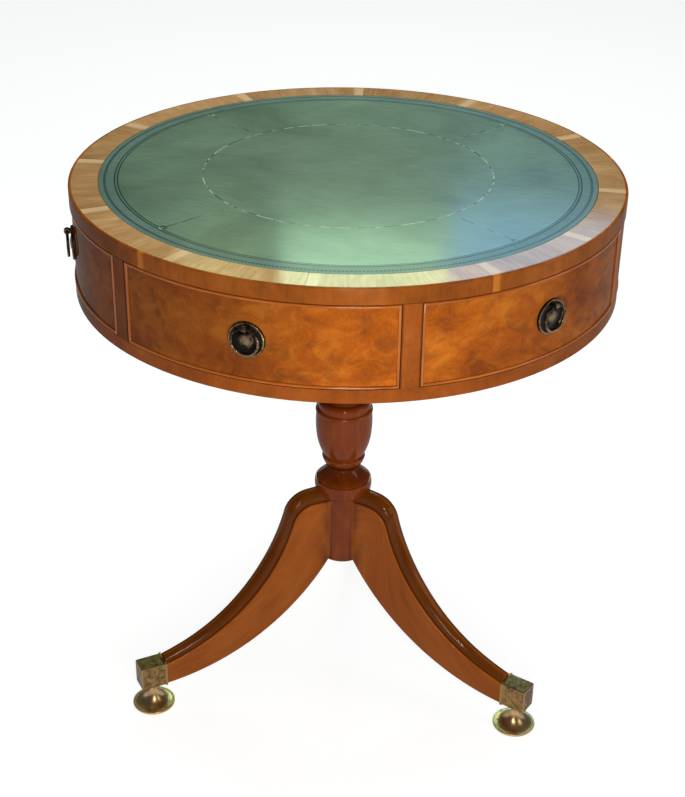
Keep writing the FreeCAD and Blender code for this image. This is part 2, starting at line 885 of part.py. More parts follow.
def write_base():
    """Write the nodes that stand still."""
    angles = [first_leg_angle + number * 360 / leg_count for number in range(leg_count)]
    names = ["left", "right", "rear"]
    save("pedestal_column", [pedestal_column(angles)])
    leg = sabre_leg()
    screws = strap_screws_on_leg()
    for screw in screws:
        leg = leg.cut(screw)
    cap = toe_cap()
    glide = foot_glide()
    for name, angle in zip(names, angles):
        save("leg_" + name, [turned_to(leg, angle)])
        save("toe_cap_" + name, [turned_to(cap, angle)])
        save("foot_glide_" + name, [turned_to(glide, angle)])
    save("leg_strap", [leg_strap(angles, leg)])
    save("strap_screws", [turned_to(screw, angle) for angle in angles for screw in screws])
    save("bearer_block", [bearer_block()])
    save("thrust_ring", [thrust_ring()])
    save("pivot_pin", [pivot_pin()])
    save("pivot_nut", [pivot_nut()])


def write_drum():
    """Write the nodes that turn with the drum, apart from the drawers."""
    save("top_board", [top_board()])
    save("top_lipping", [top_lipping()])
    save("top_crossbanding", crossband_pieces())
    save("leather_inset", [leather_inset()])
    guides = drawer_guides()
    save("drawer_guides", guides)
    save("drum_stiles", stiles(guides))
    save("bottom_rail", [bottom_rail()])
    save("bottom_board", [bottom_board()])
    save("drawer_kickers", kickers())
    save("drawer_stops", drawer_stops())
    save("hub_bush", [hub_bush()])
    front = dummy_front()
    bead = cock_bead()
    plate = handle_plate()
    angles = [(number + 0.5) * drawer_angle for number in range(drawer_count)]
    for number, angle in enumerate(angles, start=1):
        save("dummy_front_" + str(number), [turned_to(front, angle)])
        save("handle_plate_" + str(number + drawer_count), [turned_to(plate, angle)])
    save("dummy_beads", [turned_to(bead, angle) for angle in angles])


def write_drawers():
    """Write the nodes of the three drawers."""
    panel = drawer_panel()
    sides = [drawer_side(side, panel) for side in (-1, 1)]
    pieces = {
        "front": [drawer_front(sides + [panel])],
        "bead": [cock_bead()],
        "sides": sides,
        "back": [drawer_back()],
        "bottom": [panel],
    }
    plate = handle_plate()
    for number in range(1, drawer_count + 1):
        angle = (number - 1) * drawer_angle
        for name, shapes in pieces.items():
            node = "drawer_" + name + "_" + str(number)
            save(node, [turned_to(shape, angle) for shape in shapes])
        save("handle_plate_" + str(number), [turned_to(plate, angle)])


def write_rings():
    """Write the six rings: first those of the drawers, then those of the dummy fronts."""
    ring = ring_pull()
    for number in range(section_count):
        turn = number if number < drawer_count else number - drawer_count + 0.5
        save("ring_pull_" + str(number + 1), [turned_to(ring, turn * drawer_angle)])


os.makedirs("parts", exist_ok=True)
write_base()
write_drum()
write_drawers()
write_rings()
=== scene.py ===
import logging
import math
from dataclasses import dataclass, field
from enum import Enum
from typing import Sequence

import bmesh
import bpy
import numpy as np
from mathutils import Matrix


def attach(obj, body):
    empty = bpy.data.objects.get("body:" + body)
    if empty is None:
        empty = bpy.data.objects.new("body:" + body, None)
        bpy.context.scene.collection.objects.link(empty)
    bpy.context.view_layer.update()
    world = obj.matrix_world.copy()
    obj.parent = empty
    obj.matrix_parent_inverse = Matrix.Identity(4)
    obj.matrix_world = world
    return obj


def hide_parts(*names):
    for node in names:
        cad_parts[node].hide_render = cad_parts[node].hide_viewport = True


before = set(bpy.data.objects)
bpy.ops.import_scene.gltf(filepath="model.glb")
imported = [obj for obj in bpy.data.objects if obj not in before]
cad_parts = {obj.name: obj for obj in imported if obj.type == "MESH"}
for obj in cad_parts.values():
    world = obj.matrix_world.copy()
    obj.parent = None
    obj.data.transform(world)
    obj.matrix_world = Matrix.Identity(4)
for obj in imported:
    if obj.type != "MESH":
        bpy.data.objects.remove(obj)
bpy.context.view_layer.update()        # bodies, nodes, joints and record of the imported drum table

# A revolving drum table in yew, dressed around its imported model. Sizes are in millimetres in
# the classes and turn to metres when a mesh is made. Angles are measured from the front, which
# faces -Y, turning towards +X.

MM = 0.001
MERGE = 1e-6
LOG = logging.getLogger("drum_table")
PATTERN = "Pattern"
TONE = "Tone"
SECTIONS = 6
DRAWERS = 3

Piece = bpy.types.Object
Tree = bpy.types.NodeTree
Socket = bpy.types.NodeSocket
Pair = tuple[float, float]
Triple = tuple[float, float, float]
Rows = Sequence[Triple]


class Body(Enum):
    """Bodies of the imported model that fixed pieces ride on."""

    BASE = "base"
    DRUM = "drum"


class Slot(Enum):
    """Material slots of the record."""

    YEW = "yew_veneer"
    TURNED = "turned_yew"
    LEATHER = "green_leather"
    BRONZE = "antique_bronze"
    AGED_BRASS = "aged_brass"
    BRASS = "polished_brass"


class FrontKind(Enum):
    """Whether a front opens as a drawer or is a fixed dummy."""

    DRAWER = "drawer"
    DUMMY = "dummy"


class Coordinates(Enum):
    """Where a pattern lies: in space, or along the piece's own surface."""

    OBJECT = "Object"
    SURFACE = "Surface"


# Shapes as grids of points


@dataclass
class Patch:
    """A grid of points in millimetres with its pattern and tone coordinates."""

    points: np.ndarray
    pattern: np.ndarray
    tone: np.ndarray


def patch(points: np.ndarray, pattern: np.ndarray | None = None, wear: np.ndarray | float = 0.0,
          tone: float = 0.0) -> Patch:
    """Make a patch, measuring its pattern coordinates where none are given.

    The pattern runs in millimetres: down the rows, then along the columns, each the summed
    distance between neighbouring points.

    Args:
        points: rows x columns x 3 points.
        pattern: rows x columns x 2 surface coordinates, or None to measure them.
        wear: how rubbed each point is, from 0 to 1.
        tone: a number that shifts the colour of the whole patch.

    Returns:
        The patch.
    """
    if pattern is None:
        pattern = np.zeros(points.shape[:2] + (2,))
        pattern[1:, :, 0] = np.cumsum(np.linalg.norm(np.diff(points, axis=0), axis=2), axis=0)
        pattern[:, 1:, 1] = np.cumsum(np.linalg.norm(np.diff(points, axis=1), axis=2), axis=1)
    tones = np.zeros(points.shape[:2] + (2,))
    tones[..., 0] = wear
    tones[..., 1] = tone
    return Patch(points, pattern, tones)


def build(name: str, patches: Sequence[Patch], crease: float = 34.0) -> Piece:
    """Join patches into one closed, smooth-shaded mesh object at the origin.

    Each cell of a grid becomes a quad. Points that coincide are merged, which closes seams and
    poles, and the normals are turned outwards.

    Args:
        name: the piece's name.
        patches: the grids.
        crease: edges sharper than this many degrees stay crisp.

    Returns:
        The object, linked into the scene.
    """
    cells = []
    start = 0
    for part in patches:
        rows, columns = part.points.shape[:2]
        index = start + np.arange(rows * columns).reshape(rows, columns)
        corners = (index[:-1, :-1], index[1:, :-1], index[1:, 1:], index[:-1, 1:])
        cells.append(np.stack(corners, axis=-1).reshape(-1, 4))
        start += rows * columns
    quads = np.concatenate(cells)
    points = np.concatenate([part.points.reshape(-1, 3) for part in patches]) * MM
    mesh = bpy.data.meshes.new(name)
    mesh.from_pydata(points.tolist(), [], quads.tolist())
    for layer_name, kind in ((PATTERN, "pattern"), (TONE, "tone")):
        values = np.concatenate([getattr(part, kind).reshape(-1, 2) for part in patches])
        layer = mesh.uv_layers.new(name=layer_name)
        layer.data.foreach_set("uv", values[quads.ravel()].ravel())
    work = bmesh.new()
    work.from_mesh(mesh)
    bmesh.ops.remove_doubles(work, verts=work.verts, dist=MERGE)
    bmesh.ops.recalc_face_normals(work, faces=work.faces)
    work.to_mesh(mesh)
    work.free()
    mesh.shade_smooth()
    mesh.set_sharp_from_angle(angle=math.radians(crease))
    piece = bpy.data.objects.new(name, mesh)
    bpy.context.scene.collection.objects.link(piece)
    piece.modifiers.new("Flat faces stay flat", "WEIGHTED_NORMAL").keep_sharp = True
    return piece


def bulged(rows: Rows, step: float = 1.5) -> np.ndarray:
    """Profile through (radius, height, bulge) rows, with arcs where the bulge isn't zero.

    An arc over a chord of length c with bulge b has its crown b times c off the chord, so it
    turns through 4 atan(2 b).

    Args:
        rows: the rows; a bulge is outwards for a profile that runs up.
        step: longest run between points on an arc, in millimetres.

    Returns:
        n x 2 points.
    """
    found = [np.array(rows[0][:2], float)[None]]
    for (r_a, z_a, bulge), (r_b, z_b, _) in zip(rows, rows[1:]):
        start, end = np.array([r_a, z_a], float), np.array([r_b, z_b], float)
        if bulge == 0:
            found.append(end[None])
            continue
        chord = end - start
        length = float(np.hypot(*chord))
        turn = 4 * math.atan(2 * abs(bulge))
        radius = length / 2 / math.sin(turn / 2)
        count = max(4, int(math.ceil(radius * turn / step)))
        swing = np.linspace(-turn / 2, turn / 2, count + 1)[1:, None]
        outward = np.array([chord[1], -chord[0]]) / length * math.copysign(1.0, bulge)
        found.append((start + end) / 2 + chord / length * radius * np.sin(swing)
                     + outward * radius * (np.cos(swing) - math.cos(turn / 2)))
    return np.concatenate(found)


def eased(profile: np.ndarray, radius: float, closed: bool = False, sharper: float = 25.0) -> np.ndarray:
    """Round the corners of a profile with small arcs.

    Each corner that turns more than the limit is replaced by a curve of five points from one
    cut-off distance before it to one after it, the quadratic through the corner.

    Args:
        profile: n x 2 points.
        radius: cut-off distance, never more than 0.4 of the shorter neighbour.
        closed: whether the last point joins the first.
        sharper: smallest turn in degrees that counts as a corner.

    Returns:
        The new points.
    """
    before = np.roll(profile, 1, axis=0)
    after = np.roll(profile, -1, axis=0)
    back, ahead = before - profile, after - profile
    back_length = np.maximum(np.linalg.norm(back, axis=1), 1e-9)
    ahead_length = np.maximum(np.linalg.norm(ahead, axis=1), 1e-9)
    cosine = np.sum(back * ahead, axis=1) / (back_length * ahead_length)
    turn = 180.0 - np.degrees(np.arccos(np.clip(cosine, -1, 1)))
    corner = turn > sharper
    if not closed:
        corner[0] = corner[-1] = False
    cut = np.minimum(radius, 0.4 * np.minimum(back_length, ahead_length))[:, None]
    entry = profile + back / back_length[:, None] * cut
    leave = profile + ahead / ahead_length[:, None] * cut
    share = np.linspace(0, 1, 5)[:, None, None]
    curve = (1 - share) ** 2 * entry + 2 * share * (1 - share) * profile + share ** 2 * leave
    pieces = [curve[:, i] if corner[i] else profile[i:i + 1] for i in range(len(profile))]
    return np.concatenate(pieces)


def polar(radius: float | np.ndarray, angle: float | np.ndarray, height: float | np.ndarray) -> np.ndarray:
    """Points at radii, angles from the front in degrees, and heights."""
    turn = np.radians(angle)
    x, y, z = np.broadcast_arrays(radius * np.sin(turn), -radius * np.cos(turn), height)
    return np.stack([x, y, z], axis=-1).astype(float)


def seated(local: np.ndarray, angle: float, radius: float, height: float) -> np.ndarray:
    """Carry points drawn flat (right, up, outwards) on to the drum's side.

    A point is the place on the drum plus right times the tangent, up times Z and outwards
    times the direction away from the axis.
    """
    turn = math.radians(angle)
    tangent = np.array([math.cos(turn), math.sin(turn), 0.0])
    outward = np.array([math.sin(turn), -math.cos(turn), 0.0])
    return (local[..., 0:1] * tangent + local[..., 1:2] * np.array([0.0, 0.0, 1.0])
            + (radius + local[..., 2:3]) * outward + np.array([0.0, 0.0, height]))


def revolved(profile: np.ndarray, segments: int = 96, wear: np.ndarray | float = 0.0,
             tone: float = 0.0) -> Patch:
    """Turn a profile about Z: radius times (sin a, -cos a) at each height, for a full circle.

    The pattern is the way round at the largest radius, and the distance along the profile.
    """
    angles = np.linspace(0, 360, segments + 1)
    points = polar(profile[:, 0:1], angles[None], profile[:, 1:2])
    run = np.concatenate([[0], np.cumsum(np.hypot(*np.diff(profile, axis=0).T))])
    around = np.radians(angles) * profile[:, 0].max()
    pattern = np.stack(np.broadcast_arrays(around[None], run[:, None]), axis=-1)
    rubbed = wear if np.isscalar(wear) else np.asarray(wear)[:, None]
    return patch(points, pattern, rubbed, tone)


def closed_loop(loop: np.ndarray, axis: int = 0) -> np.ndarray:
    """Repeat the first entry of a loop at its end."""
    return np.concatenate([loop, loop.take([0], axis)], axis)


def capped(loop: np.ndarray, pattern: np.ndarray, tone: float = 0.0) -> Patch:
    """Fill a loop: two rows, the loop itself and its middle repeated."""
    middle = np.broadcast_to(loop[:-1].mean(axis=0), loop.shape)
    middle_pattern = np.broadcast_to(pattern[:-1].mean(axis=0), pattern.shape)
    return patch(np.stack([loop, middle]), np.stack([pattern, middle_pattern]), 0.0, tone)


def tube(points: np.ndarray, pattern: np.ndarray, flat: np.ndarray, tone: float) -> list[Patch]:
    """Rows of closed loops with the first and the last row filled."""
    return [patch(points, pattern, 0.0, tone)] + [capped(points[row], flat, tone) for row in (0, -1)]


def swept_round(loop: np.ndarray, start: float, end: float, step: float = 1.5,
                tone: float = 0.0) -> list[Patch]:
    """Carry a closed (radius, height) loop round the axis between two angles and close its ends.

    The pattern is the way round and the height.
    """
    ring = closed_loop(loop)
    angles = np.linspace(start, end, max(2, int((end - start) / step) + 1))
    points = polar(ring[None, :, 0], angles[:, None], ring[None, :, 1])
    around = np.radians(angles)[:, None] * loop[:, 0].max()
    high = np.broadcast_to(ring[None, :, 1], points.shape[:2])
    pattern = np.stack([np.broadcast_to(around, high.shape), high], axis=-1)
    return tube(points, pattern, ring, tone)


def raised(plan: np.ndarray, low: float, high: float, tone: float = 0.0) -> list[Patch]:
    """Raise a closed plan of (angle, radius) points between two heights and close its ends.

    The pattern is the run along the plan and the height.
    """
    ring = closed_loop(plan)
    heights = np.array([low, high])
    points = polar(ring[None, :, 1], ring[None, :, 0], heights[:, None])
    run = np.concatenate([[0], np.cumsum(np.linalg.norm(np.diff(points[0], axis=0), axis=1))])
    pattern = np.stack(np.broadcast_arrays(run[None], heights[:, None]), axis=-1)
    flat = np.stack([np.radians(ring[:, 0]) * ring[:, 1], ring[:, 1]], axis=-1)
    return tube(points, pattern, flat, tone)


def box_loop(inner: float, outer: float, low: float, high: float, ease: float) -> np.ndarray:
    """Rectangle in radius and height with eased corners, counted round from the inner foot."""
    corners = np.array([(inner, low), (outer, low), (outer, high), (inner, high)], float)
    return eased(corners, ease, closed=True)


def rounded_rectangle(half: float, low: float, high: float, corner: float, count: int = 6) -> np.ndarray:
    """Loop of a rectangle with round corners, as (across, height) points.

    Each corner is a quarter circle about a point one radius in from both sides.
    """
    swing = np.linspace(0, math.pi / 2, count)
    quarter = []
    for start, x, z in ((math.pi, -1, 0), (1.5 * math.pi, 1, 0), (0.0, 1, 1), (0.5 * math.pi, -1, 1)):
        centre = np.array([x * (half - corner), (high - corner) if z else (low + corner)])
        quarter.append(centre + corner * np.stack([np.cos(start + swing), np.sin(start + swing)], axis=-1))
    return np.concatenate(quarter)


# Shader helpers


def linear(code: str) -> tuple[float, float, float, float]:
    """Turn an sRGB hex colour into linear values."""
    parts = [int(code[i:i + 2], 16) / 255 for i in (1, 3, 5)]
    return tuple(c / 12.92 if c <= 0.04045 else ((c + 0.055) / 1.055) ** 2.4 for c in parts) + (1.0,)


def blank_material(title: str) -> tuple[bpy.types.Material, Tree]:
    """New material with an empty tree."""
    made = bpy.data.materials.new(title)
    made.use_nodes = True
    made.node_tree.nodes.clear()
    return made, made.node_tree


def add(tree: Tree, kind: str, inputs: dict | None = None, stops: Sequence[tuple[float, str]] = (),
        **settings: object) -> bpy.types.Node:
    """Add one node with its settings, values and links.

    Args:
        tree: the material's tree.
        kind: the node's type without its ShaderNode prefix.
        inputs: socket names or numbers with a value or a socket to link from.
        stops: colours of a ramp, as place and hex colour.
        settings: properties of the node.

    Returns:
        The node.
    """
    made = tree.nodes.new("ShaderNode" + kind)
    for name, value in settings.items():
        setattr(made, name, value)
    if stops:
        ramp = made.color_ramp
        while len(ramp.elements) < len(stops):
            ramp.elements.new(1.0)
        for element, (place, code) in zip(ramp.elements, stops):
            element.position = place
            element.color = linear(code)
    for key, value in (inputs or {}).items():
        socket = made.inputs[key]
        if isinstance(value, Socket):
            tree.links.new(value, socket)
        else:
            socket.default_value = value
    return made


def out(tree: Tree, kind: str, inputs: dict | None = None, **settings: object) -> Socket:
    """Add a node and give its first output."""
    return add(tree, kind, inputs, **settings).outputs[0]


def sums(tree: Tree, operation: str, *values: object) -> Socket:
    """One arithmetic step on sockets or numbers."""
    return out(tree, "Math", dict(enumerate(values)), operation=operation)


def largest(tree: Tree, first: Socket, *others: Socket) -> Socket:
    """Largest of several values."""
    for other in others:
        first = sums(tree, "MAXIMUM", first, other)
    return first


def distance(tree: Tree, x: Socket, y: Socket) -> Socket:
    """Root of x squared plus y squared."""
    squares = [sums(tree, "MULTIPLY", value, value) for value in (x, y)]
    return sums(tree, "SQRT", sums(tree, "ADD", *squares))


def mapped(tree: Tree, value: Socket, source: Pair = (0.0, 1.0), target: Pair = (0.0, 1.0),
           smooth: bool = False) -> Socket:
    """Carry a value from one range to another, straight or along an S curve."""
    return out(tree, "MapRange", {"Value": value, "From Min": source[0], "From Max": source[1],
                                  "To Min": target[0], "To Max": target[1]},
               interpolation_type="SMOOTHSTEP" if smooth else "LINEAR")


def band(tree: Tree, value: Socket, middle: float, half: float, soft: float) -> Socket:
    """1 where a value lies within half of the middle, falling to 0 over the soft width."""
    away = sums(tree, "ABSOLUTE", sums(tree, "SUBTRACT", value, middle))
    return mapped(tree, away, (half, half + soft), (1.0, 0.0), smooth=True)


def blended(tree: Tree, factor: object, a: object, b: object) -> Socket:
    """Mix two colours by a factor; each may be a socket or a plain colour."""
    return add(tree, "Mix", {0: factor, 6: a, 7: b}, data_type="RGBA", clamp_factor=True).outputs[2]


def brightened(tree: Tree, colour: Socket, factor: Socket) -> Socket:
    """Multiply the value of a colour."""
    return out(tree, "HueSaturation", {"Color": colour, "Value": factor})


def toned(tree: Tree, which: int) -> Socket:
    """Wear (0) or tone (1) that the mesh carries."""
    return add(tree, "SeparateXYZ", {0: out(tree, "UVMap", uv_map=TONE)}).outputs[which]


def placed(tree: Tree, where: Coordinates) -> Socket:
    """Coordinates in millimetres, in space or along the surface."""
    if where is Coordinates.SURFACE:
        return out(tree, "UVMap", uv_map=PATTERN)
    source = add(tree, "TexCoord").outputs["Object"]
    return out(tree, "VectorMath", {0: source, "Scale": 1 / MM}, operation="SCALE")


def scaled(tree: Tree, source: Socket, sizes: Triple, shift: float = 0.0, turn: float = 0.0) -> Socket:
    """Divide coordinates by pattern sizes in millimetres, turn them about Z and shift them."""
    return out(tree, "Mapping", {"Vector": source, "Scale": tuple(1 / size for size in sizes),
                                 "Location": (shift,) * 3, "Rotation": (0.0, 0.0, turn)})


def noise(tree: Tree, source: Socket, sizes: Triple, detail: float = 2.0, roughness: float = 0.5,
          warp: float = 0.0, shift: float = 0.0, turn: float = 0.0) -> Socket:
    """Noise whose cells have the given sizes in millimetres."""
    return out(tree, "TexNoise", {"Vector": scaled(tree, source, sizes, shift, turn), "Scale": 1.0,
                                  "Detail": detail, "Roughness": roughness, "Distortion": warp})


def surface(tree: Tree, colour: Socket, rough: Socket, height: Socket, strength: float, depth: float,
            more: dict) -> Socket:
    """Principled shader with a colour, a roughness and relief of a depth in millimetres."""
    bump = out(tree, "Bump", {"Height": height, "Strength": strength, "Distance": depth * MM})
    return out(tree, "BsdfPrincipled", {"Base Color": colour, "Roughness": rough, "Normal": bump, **more})


# Finishes


@dataclass(frozen=True)
class Finish:
    """A surface finish, made into a material the first time it is used."""

    title: str

    def material(self) -> bpy.types.Material:
        """Give the material of this finish."""
        found = bpy.data.materials.get(self.title)
        if found:
            return found
        made, tree = blank_material(self.title)
        add(tree, "OutputMaterial", {"Surface": self.shader(tree)})
        return made

    def shader(self, tree: Tree) -> Socket:
        """Build the nodes and return the shader's output."""
        raise NotImplementedError


@dataclass(frozen=True)
class Yew(Finish):
    """Yew or a like wood, stained and French polished.

    Long noise gives the grain, broad swirling noise the cloudy figure, and small cells the pips
    of burr wood; the shellac is a thin clear coat over it.
    """

    dark: str
    middle: str
    light: str
    fleck: str = "#3A1708"
    smoke: str = "#6B3F16"
    smoky: float = 0.0
    smoke_size: Triple = (34.0, 26.0, 30.0)
    where: Coordinates = Coordinates.SURFACE
    grain: Triple = (3.0, 60.0, 3.0)
    figure: Triple = (26.0, 44.0, 26.0)
    long_figure: float = 60.0
    flame: float = 80.0
    weights: Triple = (0.5, 0.9, 0.6)
    swirl: float = 0.8
    pip_spacing: float = 6.0
    pip_stretch: float = 1.4
    pip_crowd: Triple = (34.0, 40.0, 34.0)
    pips: float = 0.0
    pore: float = 0.45
    pore_length: float = 14.0
    long_grain: float = 20.0
    roughness: float = 0.4
    coat: float = 0.16
    coat_roughness: float = 0.08
    relief: float = 0.05
    relief_depth: float = 0.3

    def figure_value(self, tree: Tree, source: Socket) -> Socket:
        """Grain, cloudy figure and a broad flame together, centred on a half.

        Each noise less its middle is multiplied by its weight, and the three are added to a half.
        """
        broad = tuple(self.flame if size < self.long_figure else 2 * size for size in self.figure)
        layers = ((self.grain, 5.0, 0.62, 0.3, 0.0), (self.figure, 6.0, 0.6, self.swirl, 3.7),
                  (broad, 2.0, 0.4, 0.6, 8.3))
        value = 0.5 - sum(self.weights) / 2
        for layer, weight in zip(layers, self.weights):
            value = sums(tree, "MULTIPLY_ADD", noise(tree, source, *layer), weight, value)
        return value

    def colour(self, tree: Tree, source: Socket) -> Socket:
        """Colour of the wood before its polish."""
        ramp = ((0.2, self.dark), (0.5, self.middle), (0.8, self.light))
        colour = out(tree, "ValToRGB", {0: self.figure_value(tree, source)}, stops=ramp)
        if self.smoky:
            drift = noise(tree, source, self.smoke_size, 5.0, 0.6, 0.9, 14.2)
            mask = mapped(tree, drift, (0.5, 0.7), (0.0, self.smoky), smooth=True)
            colour = blended(tree, mask, colour, linear(self.smoke))
        if self.pips:
            colour = self.with_pips(tree, source, colour)
        # The tone shifts the value: random tones of pieces, and on some pieces painted shade and painted highlight.
        return brightened(tree, colour, sums(tree, "ADD", 1.0, sums(tree, "MULTIPLY", toned(tree, 1), 0.5)))

    def with_pips(self, tree: Tree, source: Socket, colour: Socket) -> Socket:
        """Dark pips, each a small spot in a cell, gathered where a slow noise is high."""
        cells = scaled(tree, source, (self.pip_spacing, self.pip_spacing * self.pip_stretch, self.pip_spacing))
        spots = add(tree, "TexVoronoi", {"Vector": cells, "Scale": 1.0, "Randomness": 1.0})
        crowd = noise(tree, source, self.pip_crowd, 2.0, 0.5, 0.5, 9.1)
        size = mapped(tree, crowd, (0.48, 0.68), (0.0, 0.24))
        inside = sums(tree, "SUBTRACT", size, spots.outputs["Distance"])
        return blended(tree, mapped(tree, inside, (0.0, 0.1), (0.0, self.pips)), colour, linear(self.fleck))

    def shader(self, tree: Tree) -> Socket:
        """Stained wood under a clear polish, with pores as fine relief."""
        source = placed(tree, self.where)
        pore_size = tuple(self.pore if size < self.long_grain else self.pore_length for size in self.grain)
        pores = noise(tree, source, pore_size)
        colour = brightened(tree, self.colour(tree, source), mapped(tree, pores, (0.3, 0.7), (0.9, 1.06)))
        rough = mapped(tree, pores, target=(self.roughness - 0.04, self.roughness + 0.08))
        return surface(tree, colour, rough, pores, self.relief, self.relief_depth, {
            "IOR": 1.5, "Specular IOR Level": 0.0, "Coat Weight": self.coat,
            "Coat Roughness": self.coat_roughness})


@dataclass(frozen=True)
class Crossband(Yew):
    """Crossbanded veneer: short pieces with the grain across the band and a strip of pale sapwood
    along one end of each. The surface pattern starts at that end."""

    sapwood: str = "#E8C48C"
    strip: float = 13.0
    strip_fade: float = 5.0
    waver: float = 7.0
    end_grain: float = 400.0

    def colour(self, tree: Tree, source: Socket) -> Socket:
        """Heartwood with its sapwood strip, whose inner edge wavers along the grain."""
        heart = super().colour(tree, source)
        along = out(tree, "SeparateXYZ", {0: source})
        waver = noise(tree, source, (9.0, 30.0, 9.0), 3.0, shift=5.0)
        place = sums(tree, "ADD", along, sums(tree, "MULTIPLY", waver, self.waver))
        mask = mapped(tree, place, (self.strip, self.strip + self.strip_fade), (0.78, 0.0), smooth=True)
        near = sums(tree, "LESS_THAN", sums(tree, "ABSOLUTE", along), self.end_grain)
        return blended(tree, sums(tree, "MULTIPLY", mask, near), heart, linear(self.sapwood))


@dataclass(frozen=True)
class TooledLeather(Finish):
    """Hide dyed green, waxed and tooled with rings and rays, much of the gilding worn off."""

    green: str = "#4A6250"
    bright: str = "#67846F"
    olive: str = "#585F50"
    border: str = "#5C7876"
    ink: str = "#16302C"
    gilt: str = "#A9BE98"
    reach: float = 300.0
    border_inner: float = 254.0
    border_share: float = 0.55
    olive_reach: Pair = (40.0, 215.0)
    rule_offset: float = 1.6
    chain_radius: float = 266.5
    chain_dots: float = 420.0
    circle_radius: float = 160.0
    ray_start: float = 168.0
    ray_end: float = 250.0
    ray_angle: float = 60.1
    view_turn: float = 18.1
    pebble: float = 1.1
    wax: float = 0.3

    def shader(self, tree: Tree) -> Socket:
        """Mottled hide, a darker border, and tooling pressed in as lines."""
        source = placed(tree, Coordinates.OBJECT)
        x, y = add(tree, "SeparateXYZ", {0: source}).outputs[:2]
        radius = distance(tree, x, y)
        angle = sums(tree, "ARCTAN2", x, sums(tree, "MULTIPLY", y, -1.0))
        rim = band(tree, radius, self.reach, self.reach - self.border_inner, 2.0)
        worn = noise(tree, source, (16.0,) * 3, 3.0, 0.7, shift=2.0)
        lines, gilded = self.tooling(tree, radius, angle, worn)
        colour = self.hide(tree, source, radius, rim)
        for share, code in ((lines, self.ink), (gilded, self.gilt)):
            colour = blended(tree, share, colour, linear(code))
        pebble = add(tree, "TexVoronoi", {"Vector": scaled(tree, source, (self.pebble,) * 3), "Scale": 1.0},
                     feature="SMOOTH_F1").outputs["Distance"]
        height = sums(tree, "SUBTRACT", sums(tree, "MULTIPLY", pebble, 0.35), sums(tree, "MULTIPLY", lines, 1.6))
        return surface(tree, colour, mapped(tree, worn, target=(0.34, 0.5)), height, 0.35, 0.25, {
            "IOR": 1.5, "Specular IOR Level": 0.06, "Coat Roughness": 0.14,
            "Coat Weight": sums(tree, "MULTIPLY_ADD", rim, -self.wax / 2, self.wax)})

    def hide(self, tree: Tree, source: Socket, radius: Socket, rim: Socket) -> Socket:
        """Colour of the hide: clouds of two greens, olive towards the middle, streaks of wax."""
        clouds = noise(tree, source, (95.0,) * 3, 4.0, warp=0.6)
        streaks = noise(tree, source, (30.0, 4.0, 30.0), 4.0, 0.7, turn=-math.radians(self.view_turn))
        colour = out(tree, "ValToRGB", {0: clouds}, stops=((0.3, self.green), (0.7, self.bright)))
        brown = sums(tree, "MULTIPLY", mapped(tree, radius, self.olive_reach, (0.6, 0.0), smooth=True), clouds)
        colour = blended(tree, brown, colour, linear(self.olive))
        colour = blended(tree, sums(tree, "MULTIPLY", rim, self.border_share), colour, linear(self.border))
        return brightened(tree, colour, mapped(tree, streaks, (0.3, 0.7), (0.86, 1.14)))

    def tooling(self, tree: Tree, radius: Socket, angle: Socket, worn: Socket) -> tuple[Socket, Socket]:
        """Pressed lines and what gilding is left on them.

        The chain is a ring of dots, one each 4 mm; the double line stands at the border's inner
        edge; the middle circle and four rays carry worn gilding.
        """
        dots = sums(tree, "SINE", sums(tree, "MULTIPLY", angle, self.chain_dots))
        chain = sums(tree, "MULTIPLY", band(tree, radius, self.chain_radius, 1.1, 0.8),
                     mapped(tree, dots, (-0.3, 0.4), (0.35, 1.0)))
        rules = [band(tree, radius, self.border_inner + side * self.rule_offset, 0.5, 0.6) for side in (-1, 1)]
        circle = band(tree, radius, self.circle_radius, 0.5, 0.7)
        eighth = math.pi / 4
        turned = sums(tree, "SUBTRACT", angle, math.radians(self.ray_angle))
        across = sums(tree, "MULTIPLY", radius, sums(tree, "SINE", sums(tree, "WRAP", turned, eighth, -eighth)))
        middle, half = (self.ray_start + self.ray_end) / 2, (self.ray_end - self.ray_start) / 2
        ray = sums(tree, "MULTIPLY", band(tree, across, 0.0, 0.55, 0.6), band(tree, radius, middle, half, 1.0))
        from_end = distance(tree, sums(tree, "SUBTRACT", radius, self.ray_end), across)
        bud = band(tree, from_end, 3.2, 0.9, 0.8)
        pressed = largest(tree, chain, *rules, circle, ray, bud)
        gilded = largest(tree, circle, sums(tree, "MULTIPLY", ray, 0.5), bud)
        return pressed, sums(tree, "MULTIPLY", gilded, mapped(tree, worn, (0.42, 0.56), (0.0, 0.9)))


@dataclass(frozen=True)
class Metal(Finish):
    """Cast or turned metal with a mottled patina that has rubbed off where hands and floors reach."""

    bare: str
    patina: str
    patina_share: float = 0.6
    roughness: float = 0.34
    patina_roughness: float = 0.5
    mottle: float = 5.0
    cast: float = 0.12
    brushed: float = 0.0

    def shader(self, tree: Tree) -> Socket:
        """Patina over bare metal, both metallic; turned work has fine rings."""
        blotch = noise(tree, placed(tree, Coordinates.OBJECT), (self.mottle,) * 3, 5.0, 0.65)
        keeps = sums(tree, "SUBTRACT", sums(tree, "ADD", blotch, self.patina_share - 0.5), toned(tree, 0))
        mask = mapped(tree, keeps, (0.36, 0.64))
        colour = blended(tree, mask, linear(self.bare), linear(self.patina))
        rough = mapped(tree, mask, target=(self.roughness, self.patina_roughness))
        height = blotch
        if self.brushed:
            height = noise(tree, placed(tree, Coordinates.SURFACE), (300.0, 0.5, 1.0), 3.0)
        return surface(tree, colour, rough, height, self.brushed or self.cast, 0.2, {"Metallic": 1.0})


